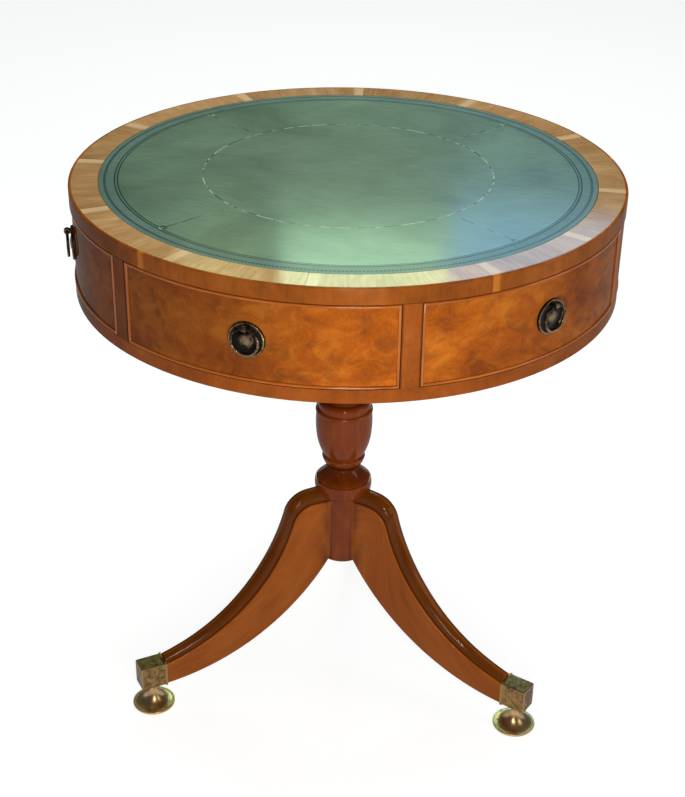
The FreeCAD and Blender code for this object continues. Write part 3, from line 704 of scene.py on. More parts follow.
# French-polished burr yew: orange-brown clouds with dark pips.
BURR = Yew("French-polished burr yew", dark="#84400F", middle="#B05A12", light="#CC7620",
           grain=(2.6, 4.0, 2.6), figure=(26.0, 20.0, 26.0), weights=(0.4, 0.9, 1.0), swirl=1.1, pips=0.45,
           pip_spacing=5.0, smoky=0.5)
# Straight-grained yew on stiles and rail: the same polish, quieter figure.
STRAIGHT = Yew("French-polished straight yew", dark="#74390F", middle="#9E5117", light="#B4662A",
               grain=(4.0, 26.0, 4.0), figure=(22.0, 30.0, 22.0), weights=(0.25, 0.5, 0.5), pips=0.25,
               pip_spacing=7.0, smoky=0.35)
# Cock bead: darker, straight, and glossy from handling.
BEAD = Yew("French-polished bead", dark="#7C380C", middle="#B4601C", light="#CC7C30", grain=(30.0, 3.0, 3.0),
           figure=(50.0, 8.0, 8.0), weights=(0.5, 0.4, 0.3), coat=0.65, coat_roughness=0.09)
# Edge of the top: veneer with upright grain.
EDGE = Crossband("French-polished edge veneer", dark="#703A0E", middle="#9E5418", light="#B86C2C",
                 grain=(5.0, 40.0, 5.0), figure=(26.0, 34.0, 26.0), weights=(0.25, 0.5, 0.6), sapwood="#D08030",
                 strip=9.0, pips=0.2, pip_spacing=9.0, smoky=0.4)
# Crossbanding on the top: paler from sunlight, honey coloured.
BAND = Crossband("Sun-faded crossbanded yew", dark="#8E663E", middle="#B88E5C", light="#D4B07C",
                 grain=(3.5, 50.0, 3.5), figure=(20.0, 60.0, 20.0), weights=(0.5, 0.6, 0.6), sapwood="#E0BE90",
                 strip=12.0, pips=0.1, pip_spacing=8.0, coat=0.28)
# Turned column: stained darker, grain up the column.
TURNED = Yew("French-polished turned column", dark="#622709", middle="#8C3E12", light="#A8561E",
             where=Coordinates.OBJECT, grain=(4.0, 4.0, 90.0), figure=(20.0, 20.0, 50.0), weights=(0.25, 0.5, 0.3),
             coat=0.32, coat_roughness=0.1)
# Legs: the column's stain, grain down the leg.
SAWN = Yew("French-polished leg", dark="#8C4310", middle="#B45F1C", light="#CA7628", grain=(80.0, 4.0, 4.0),
           figure=(70.0, 22.0, 22.0), weights=(0.25, 0.5, 0.4), coat=0.2,
           coat_roughness=0.09)
# Plain softwood and oak inside the drum, waxed by age only.
CARCASS = Yew("Bare carcass wood", dark="#7A5634", middle="#A27B50", light="#BD9768", where=Coordinates.OBJECT,
              grain=(40.0, 5.0, 5.0), figure=(60.0, 20.0, 20.0), weights=(0.7, 0.6, 0.3), coat=0.0, relief=0.2)
LEATHER = TooledLeather("Dyed and tooled hide")
# Cast handles, chemically darkened.
BRONZE = Metal("Darkened cast bronze", bare="#7E6A50", patina="#241D18", patina_share=0.74, roughness=0.3,
               patina_roughness=0.4, mottle=4.0)
# Cast caps, brown with age, bright on their edges.
CAP_BRASS = Metal("Aged cast brass", bare="#94764A", patina="#574028", patina_share=0.65, roughness=0.34,
                  patina_roughness=0.5, mottle=7.0)
# Turned glides, kept bright by rubbing.
GLIDE_BRASS = Metal("Turned brass", bare="#C2A070", patina="#846A44", patina_share=0.5, roughness=0.32,
                    patina_roughness=0.42, mottle=12.0, brushed=0.25)
STEEL = Metal("Dull iron", bare="#77736D", patina="#3B3733", patina_share=0.6, roughness=0.45,
              patina_roughness=0.6, mottle=9.0)


def finish_piece(piece: Piece, finish: Finish, body: str, slot: Slot, *nodes: str) -> Piece:
    """Give a piece its material and body, and hide the nodes that it stands for.

    Args:
        piece: the finished object.
        finish: its finish.
        body: name of the body that it rides on.
        slot: not used.
        nodes: CAD nodes that it replaces.

    Returns:
        The piece.
    """
    piece.data.materials.clear()
    piece.data.materials.append(finish.material())
    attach(piece, body)
    if nodes:
        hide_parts(*nodes)
    LOG.info("%s: %s on %s, %d faces", piece.name, finish.title, body, len(piece.data.polygons))
    return piece


# The table's parts


@dataclass
class TableTop:
    """Leather, crossbanding and the edge band."""

    height: float = 660.0
    radius: float = 305.5
    lipping: float = 3.0
    edge_height: float = 18.0
    edge_round: float = 1.6
    veneer: float = 1.5
    leather_radius: float = 273.5
    dip: float = 0.25
    joints: tuple[float, ...] = (-77.0, -47.9, -17.9, 10.7, 45.1, 70.1, 98.1, 133.1, 166.1, 194.6, 224.1, 257.6)
    edge_joints: tuple[float, ...] = (-23.8, 45.2, 118.0, 171.0, 243.0)
    # Piece tones: partly random, partly painted reflection, lighter on the front pieces and darker on the back ones.
    tones: tuple[float, ...] = (-0.1, 0.05, 0.25, 0.3, 0.05, -0.15, -0.2, -0.05, -0.3, -0.25, -0.05, -0.2)
    edge_tones: tuple[float, ...] = (-0.04, 0.04, -0.06, 0.0, -0.1)
    seam: float = 0.15
    leather_round: float = 0.8
    band_step: float = 137.0
    edge_step: float = 211.0

    def build(self) -> None:
        """Make the three layers of the top that show."""
        self.leather()
        self.crossbanding()
        self.edge()
        dress("top_board", CARCASS)

    def leather(self) -> Piece:
        """Flat disc whose edge turns down into the joint.

        Height is the top less a dip, falling along a quarter circle at the rim.
        """
        top = self.height - self.dip
        edge = self.leather_radius - self.seam
        corner = self.leather_round
        swing = np.linspace(0, math.pi / 2, 6)
        rim = np.stack([edge - corner + corner * np.sin(swing), top - corner + corner * np.cos(swing)], axis=-1)
        flat = np.stack([np.array([0, 60, 140, 200, 240, 262.0]), np.full(6, top)], axis=-1)
        base = self.height - self.veneer
        profile = np.concatenate([flat, rim, [[edge, base], [0, base]]])
        piece = build("leather_top", [revolved(profile, 180)])
        return finish_piece(piece, LEATHER, Body.DRUM.value, Slot.LEATHER, "leather_inset")

    def crossbanding(self) -> Piece:
        """Twelve pieces of veneer between measured joints, each a swept box loop.

        The pattern runs from each joint along the band, and across the band along the grain.
        """
        patches = []
        ends = self.joints[1:] + (self.joints[0] + 360.0,)
        loop = box_loop(self.leather_radius + self.seam, self.radius - self.lipping, self.height - self.veneer,
                        self.height, 0.3)
        for number, (start, end, tone) in enumerate(zip(self.joints, ends, self.tones)):
            found = swept_round(loop, start + 0.03, end - 0.03, 1.0, tone)
            for part in found:
                along = np.degrees(np.arctan2(part.points[..., 0], -part.points[..., 1]))
                along = (along - start + 180.0) % 360.0 - 180.0
                away = np.hypot(part.points[..., 0], part.points[..., 1])
                part.pattern[..., 0] = np.radians(along) * self.leather_radius
                part.pattern[..., 1] = away + self.band_step * number
            patches += found
        piece = build("top_crossband_veneer", patches)
        return finish_piece(piece, BAND, Body.DRUM.value, Slot.YEW, "top_crossbanding")

    def edge(self) -> Piece:
        """Edge band in a few lengths, its two outer corners rounded."""
        low = self.height - self.edge_height
        inner = self.radius - self.lipping
        swing = np.linspace(0, math.pi / 2, 6)
        corner = self.edge_round
        lower = np.stack([self.radius - corner + corner * np.sin(swing),
                          low + corner - corner * np.cos(swing)], axis=-1)
        upper = np.stack([self.radius - corner + corner * np.cos(swing),
                          self.height - corner + corner * np.sin(swing)], axis=-1)
        loop = np.concatenate([[[inner, low]], lower, upper, [[inner, self.height]]])
        patches = []
        ends = self.edge_joints[1:] + (self.edge_joints[0] + 360.0,)
        for number, (start, end) in enumerate(zip(self.edge_joints, ends)):
            found = swept_round(loop, start, end, tone=self.edge_tones[number])
            found[0].pattern[..., 0] -= math.radians(start) * self.radius
            found[0].pattern[..., 1] += self.edge_step * number
            patches += found
        piece = build("top_edge_band", patches)
        return finish_piece(piece, EDGE, Body.DRUM.value, Slot.YEW, "top_lipping")


@dataclass
class DrumCarcass:
    """Rail and stiles that show between the fronts, and the plain work behind them."""

    radius: float = 305.0
    top: float = 642.0
    bottom: float = 537.0
    rail: float = 15.0
    rail_depth: float = 39.0
    rail_round: float = 1.2
    stile_face: float = 20.0
    stile_depth: float = 49.0
    arris: float = 0.7
    # Stile tones: small random tones, and painted shade on the sixth stile (-0.6).
    stile_tones_and_shade: tuple[float, ...] = (0.06, -0.05, 0.03, -0.02, 0.05, -0.6)
    stile_step: float = 83.0
    # Painted shadow along both sides of each stile face, in the gap beside the beads.
    edge_share: float = 0.78
    painted_gap_shadow: float = 1.1

    def build(self) -> None:
        """Make the rail and stiles and dress the hidden pieces."""
        self.bottom_rail()
        self.stiles()
        for node in ("drawer_guides", "bottom_board", "drawer_kickers", "drawer_stops"):
            dress(node, CARCASS)
        dress("hub_bush", GLIDE_BRASS)

    def bottom_rail(self) -> Piece:
        """Ring under the fronts: a box loop with its lower outer corner rounded, turned full circle."""
        inner = self.radius - self.rail_depth
        swing = np.linspace(0, math.pi / 2, 6)
        corner = self.rail_round
        lower = np.stack([self.radius - corner + corner * np.sin(swing),
                          self.bottom + corner - corner * np.cos(swing)], axis=-1)
        high = self.bottom + self.rail
        top = np.array([[self.radius, high - 0.5], [self.radius - 0.15, high - 0.15], [self.radius - 0.5, high]])
        loop = np.concatenate([[[inner, self.bottom]], lower, top, [[inner, high], [inner, self.bottom]]])
        piece = build("drum_bottom_rail", [revolved(loop, 240)])
        return finish_piece(piece, STRAIGHT, Body.DRUM.value, Slot.YEW, "bottom_rail")

    def stiles(self) -> Piece:
        """Six uprights: a plan of two arcs with eased outer corners, raised to the top."""
        half = math.degrees(self.stile_face / 2 / self.radius)
        ease = math.degrees(self.arris / self.radius)
        inset = half * self.edge_share
        left = np.array([(-half, -self.arris), (-half + ease * 0.3, -self.arris * 0.3), (-half + ease, 0),
                         (-inset, 0), (-half / 2, 0)])
        outer = np.concatenate([left, [(0, 0)], left[::-1] * (-1, 1)])
        outer[:, 1] += self.radius
        inner = np.array([(half, self.radius - self.stile_depth), (-half, self.radius - self.stile_depth)])
        plan = np.concatenate([outer, inner])
        patches = []
        for number in range(SECTIONS):
            middle = (number + 0.5) * 360.0 / SECTIONS
            turned = plan + np.array([middle, 0.0])
            found = raised(turned, self.bottom + self.rail, self.top, self.stile_tones_and_shade[number])
            for part in found:
                part.pattern[..., 0] += self.stile_step * number
            # Painted shadow towards each side of the stile face, beside the beads.
            gap_shadow = np.interp(np.abs(plan[:, 0]), [inset, half - ease], [0.0, -self.painted_gap_shadow])
            found[0].tone[..., 1] += closed_loop(gap_shadow[:, None])[None, :, 0]
            patches += found
        piece = build("drum_stile_faces", patches)
        return finish_piece(piece, STRAIGHT, Body.DRUM.value, Slot.YEW, "drum_stiles")


def dress(node: str, finish: Finish) -> None:
    """Give a carried-over CAD node its finish."""
    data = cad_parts[node].data
    data.materials.clear()
    data.materials.append(finish.material())


@dataclass
class CurvedFront:
    """One curved front, real or dummy: veneer, cock bead, ring-pull plate and ring."""

    number: int
    kind: FrontKind
    angle: float
    face: float = 303.5
    low: float = 552.5
    high: float = 641.5
    bead_width: float = 3.0
    bead_depth: float = 9.0
    bead_proud: float = 2.0
    bead_round: float = 1.35
    skin: float = 0.5
    stile_face: float = 20.0
    gap: float = 0.5
    drum_radius: float = 305.0
    leaf: tuple[float, float, float, float] = (-0.1, 0.05, 0.0, 1.0)
    leaf_step: float = 311.0
    bead_step: float = 97.0
    # Painted shade: the bead's sides darken down into the groove, less on the inner side.
    painted_groove_shade: float = 1.3
    groove_depth: float = 2.0
    inner_share: float = 0.6

    @property
    def body(self) -> str:
        """Body that this front rides on."""
        return f"drawer_{self.number}" if self.kind is FrontKind.DRAWER else Body.DRUM.value

    @property
    def half_angle(self) -> float:
        """Half of the angle that the front covers."""
        per = 180.0 / math.pi / self.drum_radius
        return 180.0 / SECTIONS - (self.stile_face / 2 + self.gap) * per

    def build(self) -> None:
        """Make the pieces of this front that show and dress its box."""
        self.veneer()
        self.dress_box()
        RingPull(self.number, self.angle, self.body, self.face).build()

    def veneer(self) -> Piece:
        """Sheet of veneer inside the bead: a thin box loop swept across the front.

        Each leaf of veneer goes from one tone to another between two shares of its length.
        """
        inset = self.half_angle - math.degrees(self.bead_width / self.drum_radius)
        loop = box_loop(self.face - self.skin, self.face + 0.06, self.low + self.bead_width,
                        self.high - self.bead_width, 0.02)
        found = swept_round(loop, self.angle - inset, self.angle + inset, 1.0)
        for part in found:
            along = np.degrees(np.arctan2(part.points[..., 0], -part.points[..., 1])) - self.angle
            share = ((along + 180.0) % 360.0 - 180.0) / inset / 2 + 0.5
            ease = np.clip((share - self.leaf[2]) / (self.leaf[3] - self.leaf[2]), 0, 1)
            part.tone[..., 1] = self.leaf[0] + (self.leaf[1] - self.leaf[0]) * ease ** 2 * (3 - 2 * ease)
            part.pattern[..., 1] += self.leaf_step * self.number
        piece = build(f"front_veneer_{self.number}", found)
        return finish_piece(piece, BURR, self.body, Slot.YEW)

    def bead_patch(self) -> Patch:
        """Moulded bead that runs round the front.

        The section is a list of (inset, radius) points. At each place on the way round, the
        point lies on the rectangle of the front shrunk by its inset, so corners are mitred.
        """
        nose = self.face + self.bead_proud
        seat = self.face - self.bead_depth
        swing = np.linspace(0, math.pi / 2, 5)
        curve = self.bead_round
        outer = np.stack([curve - curve * np.cos(swing), nose - curve + curve * np.sin(swing)], axis=-1)
        inner = np.stack([self.bead_width - curve + curve * np.sin(swing),
                          nose - curve + curve * np.cos(swing)], axis=-1)
        section = np.concatenate([[[0, seat]], outer, inner, [[self.bead_width, seat], [0, seat]]])
        across = np.linspace(0, 1, 49)
        upright = np.linspace(0, 1, 5)
        share_x = np.concatenate([across, np.ones(5), across[::-1], np.zeros(5)])
        share_z = np.concatenate([np.zeros(49), upright, np.ones(49), upright[::-1]])
        inset = section[None, :, 0]
        half = self.half_angle - np.degrees(inset / self.drum_radius)
        angles = self.angle + (2 * share_x[:, None] - 1) * half
        heights = self.low + inset + share_z[:, None] * (self.high - self.low - 2 * inset)
        points = polar(section[None, :, 1], angles, heights)
        # Painted shade down the bead's sides into the groove beside it.
        deep = np.clip((nose - section[:, 1]) / self.groove_depth, 0, 1)
        deep *= np.where(section[:, 0] < self.bead_width / 2, 1.0, self.inner_share)
        found = patch(points)
        found.tone[..., 1] = -self.painted_groove_shade * deep ** 2
        found.pattern[..., 0] += self.bead_step * self.number
        return found

    def dress_box(self) -> None:
        """Make the drawer's own bead, and give the box and the front's wood their finishes."""
        if self.kind is FrontKind.DUMMY:
            dress(f"dummy_front_{self.number - DRAWERS}", CARCASS)
            return
        for name in ("front", "sides", "back", "bottom"):
            dress(f"drawer_{name}_{self.number}", CARCASS)
        piece = build(f"drawer_cock_bead_{self.number}", [self.bead_patch()])
        finish_piece(piece, BEAD, self.body, Slot.YEW, f"drawer_bead_{self.number}")


@dataclass
class RingPull:
    """Round dished plate with a domed middle, an eye, and the ring that hangs in it."""

    number: int
    angle: float
    body: str
    face: float
    height: float = 597.0
    plate: float = 19.0
    rise: float = 2.4
    seat: float = 1.0
    rim: float = 3.0
    dome: float = 9.0
    dome_top: float = 4.2
    ring: float = 14.0
    wire: float = 1.6
    standoff: float = 6.5
    bore: float = 2.05
    wall: float = 1.4
    eye: float = 5.0

    def build(self) -> None:
        """Make the plate with its eye, and the ring."""
        patches = self.plate_patches() + self.eye_patches()
        piece = build(f"pull_plate_{self.number}", patches, crease=50.0)
        finish_piece(piece, BRONZE, self.body, Slot.BRONZE, f"handle_plate_{self.number}")
        hoop = build(f"pull_ring_{self.number}", [self.ring_patch()])
        finish_piece(hoop, BRONZE, f"ring_{self.number}", Slot.BRONZE, f"ring_pull_{self.number}")

    def plate_patches(self) -> list[Patch]:
        """Plate turned about the outward direction: rolled rim, dished field, domed middle."""
        swing = np.linspace(0, math.pi, 9)
        rim = self.rim / 2
        level = self.rise * 0.55
        rolled = np.stack([self.plate - rim + rim * np.cos(swing), level + rim * 0.9 * np.sin(swing)], axis=-1)
        share = np.linspace(0, 1, 7)[1:-1]
        field_radius = self.plate - self.rim - share * (self.plate - self.rim - self.dome)
        field_level = self.rise * (0.30 + 0.15 * share - 0.12 * np.sin(share * math.pi))
        dish = np.stack([field_radius, field_level], axis=-1)
        lift = np.linspace(0, math.pi / 2, 10)
        top = np.stack([self.dome * np.cos(lift), level + (self.dome_top - level) * np.sin(lift)], axis=-1)
        profile = np.concatenate([[[0, -self.seat], [self.plate, -self.seat]], rolled, dish, top])
        wear = np.concatenate([[0, 0], 0.35 * np.sin(swing), np.zeros(len(dish)), 0.45 * np.sin(lift) ** 3])
        flat = revolved(profile, 64, wear)
        flat.points = seated(flat.points, self.angle, self.face, self.height)
        return [flat]

    def eye_patches(self) -> list[Patch]:
        """Eye above the middle: a drilled knuckle across the front on a short neck."""
        outer = self.bore + self.wall
        swing = np.linspace(0, 2 * math.pi, 25)
        across = np.array([-self.eye / 2, -self.eye / 2 + 0.4, self.eye / 2 - 0.4, self.eye / 2])
        radius = np.array([outer - 0.4, outer, outer, outer - 0.4])
        shell = np.stack(np.broadcast_arrays(across[:, None], self.ring + radius[:, None] * np.sin(swing),
                                             self.standoff + radius[:, None] * np.cos(swing)), axis=-1)
        hole = np.stack(np.broadcast_arrays(across[[0, 3], None], self.ring + self.bore * np.sin(swing)[None],
                                            self.standoff + self.bore * np.cos(swing)[None]), axis=-1)
        ends = [np.stack([shell[0], hole[0]]), np.stack([shell[-1], hole[-1]])]
        neck_half = self.bore + self.wall / 2
        neck = rounded_rectangle(self.eye / 2 - 0.3, self.ring - neck_half, self.ring + neck_half, 0.6, 3)
        neck = closed_loop(neck)
        levels = np.array([0.2 * self.rise, self.standoff - self.bore - 0.35])
        column = np.stack(np.broadcast_arrays(neck[None, :, 0], neck[None, :, 1], levels[:, None]), axis=-1)
        found = []
        for local in [shell, hole] + ends + [column]:
            found.append(patch(seated(local, self.angle, self.face, self.height), wear=0.2))
        for row in (column[0], column[-1]):
            loop = seated(row, self.angle, self.face, self.height)
            found.append(capped(loop, loop[:, :2]))
        return found

    def ring_patch(self) -> Patch:
        """Ring: a small circle carried round a large one, both closed."""
        around = np.linspace(0, 2 * math.pi, 73)[:, None]
        about = np.linspace(0, 2 * math.pi, 21)[None]
        away = self.ring + self.wire * np.cos(about)
        local = np.stack([away * np.sin(around), away * np.cos(around),
                          self.standoff + self.wire * np.sin(about) + 0 * around], axis=-1)
        wear = 0.35 * np.clip(np.sin(about), 0, 1) * (0.5 - 0.5 * np.cos(around)) + 0.05
        return patch(seated(local, self.angle, self.face, self.height), wear=wear)


@dataclass
class Column:
    """Turned column with its bearer block."""

    post_bottom: float = 156.0
    post_radius: float = 28.0
    collar_bottom: float = 247.0
    collar: tuple[float, float] = (37.0, 35.6)
    cup: tuple[float, float] = (14.0, 26.5)
    urn: tuple[float, float] = (76.0, 34.6)
    shaft_radius: float = 25.0
    bearer_bottom: float = 516.0
    leg_angles: Triple = (-45.6, 74.4, 194.4)
    # Painted shade: the post darkens beside each leg's faces, and the top of the collar and the cup under the urn are
    # darkened.
    seam_angle: float = 32.4
    painted_join_shade: float = 1.1
    seam_width: float = 5.0
    painted_cup_shade: float = 0.9
    cup_reach: float = 12.0
    collar_shares: Rows = (
        (0.0, 0.88, 0.15), (0.13, 0.96, 0.06), (0.49, 0.96, 0), (0.49, 0.90, 0), (0.535, 0.90, 0),
        (0.535, 0.92, -0.03), (0.93, 0.542, 0), (0.93, 0.562, 0.4), (1.0, 0.562, 0))
    cup_shares: Rows = ((0.0, 0.68, 0.12), (0.8, 0.97, 0.3), (1.0, 0.94, 0))
    urn_shares: Rows = (
        (0.0, 0.685, 0.055), (0.45, 0.974, 0.02), (0.80, 0.971, 0.3), (0.86, 0.945, 0),
        (0.86, 0.905, 0), (0.94, 0.905, 0.2), (1.0, 0.74, 0))
    shaft_shares: Rows = (
        (0.0, 0.92, -0.2), (0.06, 0.80, 0), (0.06, 0.98, 0.4), (0.10, 0.98, 0), (0.10, 0.86, -0.02),
        (0.78, 0.74, 0), (0.78, 0.88, 0.4), (0.82, 0.88, 0), (0.82, 0.76, -0.2), (0.96, 1.36, 0),
        (1.0, 1.36, 0))

    def build(self) -> None:
        """Make the turned column and dress the swivel's pieces."""
        self.spindle()
        dress("bearer_block", TURNED)
        dress("thrust_ring", GLIDE_BRASS)
        for node in ("pivot_pin", "pivot_nut"):
            dress(node, STEEL)

    def member(self, bottom: float, height: float, radius: float, shares: Rows) -> list[tuple[float, float, float]]:
        """Rows of one turned member from its table of shares."""
        return [(r * radius, bottom + z * height, bulge) for z, r, bulge in shares]

    def spindle(self) -> Piece:
        """Column turned from one outline, its crisp corners eased as sanding leaves them."""
        cup_bottom = self.collar_bottom + self.collar[0]
        urn_bottom = cup_bottom + self.cup[0]
        shaft_bottom = urn_bottom + self.urn[0]
        rows = [(0.0, self.post_bottom, 0), (self.post_radius, self.post_bottom, 0),
                (self.post_radius, self.collar_bottom, 0)]
        rows += self.member(self.collar_bottom, *self.collar, self.collar_shares)
        rows += self.member(cup_bottom, *self.cup, self.cup_shares)
        rows += self.member(urn_bottom, *self.urn, self.urn_shares)
        rows += self.member(shaft_bottom, self.bearer_bottom - shaft_bottom, self.shaft_radius, self.shaft_shares)
        rows += [(0.0, self.bearer_bottom, 0)]
        outline = bulged(rows, 1.2)
        keep = np.concatenate([[True], np.linalg.norm(np.diff(outline, axis=0), axis=1) > 1e-4])
        turned = revolved(eased(outline[keep], 0.45), 128)
        x, y, height = np.moveaxis(turned.points, -1, 0)
        around = np.degrees(np.arctan2(x, -y))
        # Painted shade on the post beside the legs, below the collar's foot.
        for angle in self.leg_angles:
            off = np.abs(np.abs((around - angle + 180.0) % 360.0 - 180.0) - self.seam_angle)
            dark = self.painted_join_shade * np.exp(-(off / self.seam_width) ** 2)
            turned.tone[..., 1] -= dark * (height < self.collar_bottom - 4.0)
        # Painted shade over the collar's top and the cup under the urn.
        turned.tone[..., 1] -= self.painted_cup_shade * np.exp(-((height - cup_bottom + 4.0) / self.cup_reach) ** 4)
        piece = build("turned_column", [turned], crease=60.0)
        return finish_piece(piece, TURNED, Body.BASE.value, Slot.TURNED, "pedestal_column")


@dataclass
class SabreLeg:
    """Sabre leg: square section with a moulded top, from the post to the toe."""

    name: str
    angle: float
    number: int
    top: float = 242.5
    root_thickness: float = 30.0
    toe_thickness: float = 24.0
    straight_end: float = 45.0
    core_radius: float = 20.0
    knee_radius: float = 28.0
    knee_turn: float = 74.0
    under_radius: float = 273.0
    root_low: float = 154.0
    post_radius: float = 28.0
    toe_radius: float = 242.5
    toe_top: float = 61.5
    toe_bottom: float = 32.5
    bead: float = 3.2
    crown_root: float = 16.0
    crown_toe: float = 9.0
    crown_round_share: float = 0.85
    quirk: float = 0.9
    arris: float = 1.2
    # Painted light in the leg's tone: painted shade over the crown with a painted highlight down its middle, painted
    # shade in the quirk, and painted shade on the root where it meets the post.
    painted_crown_shade: float = 1.25
    painted_ridge_highlight: float = 0.9
    ridge_share: float = 0.14
    painted_quirk_shade: float = 1.5
    painted_root_shade: float = 0.9
    root_reach: float = 4.5
    leg_step: float = 400.0
    station_shares: tuple[tuple[float, float], ...] = (
        (0.0, 0.0), (0.05, 0.02), (0.097, 0.045), (0.133, 0.065), (0.169, 0.09), (0.205, 0.115),
        (0.29, 0.165), (0.40, 0.24), (0.533, 0.345), (0.68, 0.51), (0.815, 0.692), (0.91, 0.845),
        (1.0, 1.0))

    def build(self) -> None:
        """Make the leg with its cap and glide."""
        self.limb()
        ToeCap(self.name, self.angle, self.toe_radius, self.toe_bottom, self.toe_top).build()
        FootGlide(self.name, self.angle).build()

    def upper_edge(self, share: np.ndarray) -> np.ndarray:
        """Points (distance, height) along the upper edge: a level run, the round knee, then a
        hollow arc that leaves the knee smoothly and meets the toe."""
        turn = math.radians(self.knee_turn)
        away = self.straight_end + self.knee_radius * math.sin(turn)
        height = self.top - self.knee_radius * (1 - math.cos(turn))
        across, rise = self.toe_radius - away, self.toe_top - height
        radius = (across ** 2 + rise ** 2) / (2 * (across * math.sin(turn) + rise * math.cos(turn)))
        centre = np.array([away + radius * math.sin(turn), height + radius * math.cos(turn)])
        end = math.asin((centre[0] - self.toe_radius) / radius)
        straight = self.straight_end - self.core_radius
        knee = self.knee_radius * turn
        run = share * (straight + knee + radius * (turn - end))
        on_knee = np.clip((run - straight) / self.knee_radius, 0, turn)
        in_hollow = turn - np.clip((run - straight - knee) / radius, 0, turn)
        level = np.stack([self.core_radius + run, np.full_like(run, self.top)], axis=-1)
        bend = np.stack([self.straight_end + self.knee_radius * np.sin(on_knee),
                         self.top - self.knee_radius * (1 - np.cos(on_knee))], axis=-1)
        hollow = centre - radius * np.stack([np.sin(in_hollow), np.cos(in_hollow)], axis=-1)
        found = np.where((run <= straight)[:, None], level, bend)
        return np.where((run > straight + knee)[:, None], hollow, found)

    def lower_edge(self, share: np.ndarray) -> np.ndarray:
        """Points along the lower edge: one arc through the post's face and the toe."""
        across, drop = self.toe_radius - self.post_radius, self.toe_bottom - self.root_low
        chord = math.hypot(across, drop)
        rise = math.sqrt(self.under_radius ** 2 - (chord / 2) ** 2)
        centre = np.array([(self.post_radius + self.toe_radius) / 2 - drop / chord * rise,
                           (self.root_low + self.toe_bottom) / 2 + across / chord * rise])
        start = math.asin((centre[0] - self.core_radius) / self.under_radius)
        end = math.asin((centre[0] - self.toe_radius) / self.under_radius)
        turn = start + share * (end - start)
        return centre - self.under_radius * np.stack([np.sin(turn), np.cos(turn)], axis=-1)

    def section(self, half: np.ndarray, height: np.ndarray, crown: np.ndarray) -> tuple[np.ndarray, np.ndarray]:
        """Outline of the leg at each station as (across, level) arrays.

        Flat sides rise to a half-round bead on each arris; a small quirk parts the bead from
        the raised crown. The crown has short upright flanks and then the cubic whose place
        across is 1 - 6t^2 + 4t^3 of its half width and whose rise is 4t(1 - t) of its height.
        """
        bead = self.bead / 2
        shoulder = (height - bead)[:, None]
        half = half[:, None]
        swing = np.linspace(0, math.pi, 11)[None]
        bead_x = half - bead + bead * np.cos(swing)
        bead_z = shoulder + bead * np.sin(swing)
        inner = half - 2 * bead - self.quirk / 2
        share = np.linspace(0, 1, 25)[None]
        rise = self.crown_round_share * inner
        crown_x = inner * (1 - 6 * share ** 2 + 4 * share ** 3)
        crown_z = shoulder + crown[:, None] - rise + rise * 4 * share * (1 - share)
        quirk_x, quirk_z = half - 2 * bead, shoulder - self.quirk
        corner = self.arris
        flat = np.ones_like(half)
        foot_x = np.concatenate([half - corner, half - corner * 0.3, half], axis=1)
        foot_z = np.concatenate([0 * flat, corner * 0.3 * flat, corner * flat], axis=1)
        across = np.concatenate([foot_x, half, bead_x, quirk_x, crown_x, -quirk_x, -bead_x[:, ::-1], -half,
                                 -foot_x[:, ::-1]], axis=1)
        level = np.concatenate([foot_z, shoulder * 0.6, bead_z, quirk_z, crown_z, quirk_z, bead_z[:, ::-1],
                                shoulder * 0.6, foot_z[:, ::-1]], axis=1)
        return across, level

    def limb(self) -> Piece:
        """Carry the section from the post to the toe between the two edges."""
        stations = np.array(self.station_shares)
        even = np.linspace(0, 1, 73)
        lower_share = np.interp(even, stations[:, 0], stations[:, 1])
        smooth = np.convolve(np.pad(lower_share, 3, mode="reflect", reflect_type="odd"), np.ones(7) / 7, "valid")
        upper, lower = self.upper_edge(even), self.lower_edge(smooth)
        reach = upper - lower
        height = np.linalg.norm(reach, axis=1)
        rising = reach / height[:, None]
        half = (self.root_thickness + even * (self.toe_thickness - self.root_thickness)) / 2
        crown = self.crown_root + even * (self.crown_toe - self.crown_root)
        across, level = self.section(half, height, crown)
        away = lower[:, 0:1] + level * rising[:, 0:1]
        high = lower[:, 1:2] + level * rising[:, 1:2]
        local = np.stack([across, high, away], axis=-1)
        points = seated(local, self.angle, 0.0, 0.0)
        points = closed_loop(points, 1)
        found = patch(points)
        # Painted shade and highlight: the raised crown is shaded with a lighter painted highlight along its middle, the
        # quirk and the bead's lower side are shaded, and the root darkens where it meets the post.
        side = np.abs(across[0]) / half[0]
        raised_part = level[0] > height[0]
        ridge = self.painted_ridge_highlight * np.exp(-(side / self.ridge_share) ** 2)
        painted_moulding_light = np.where(raised_part, ridge - self.painted_crown_shade, 0.0)
        quirk = np.where(level[0] > 0.9 * height[0], -self.painted_quirk_shade, 0.0)
        painted_moulding_light = np.where(level[0] < height[0] - self.bead / 2 - 0.1, quirk, painted_moulding_light)
        seam = -self.painted_root_shade * np.exp(-((away - self.post_radius) / self.root_reach) ** 2)
        shade = np.minimum(painted_moulding_light[None], seam)
        found.tone[..., 1] = closed_loop(shade, 1)
        found.pattern[..., 0] += self.leg_step * self.number
        ends = [capped(points[row], found.pattern[row]) for row in (0, -1)]
        piece = build(f"sabre_leg_{self.name}", [found] + ends, crease=40.0)
        return finish_piece(piece, SAWN, Body.BASE.value, Slot.TURNED, f"leg_{self.name}")


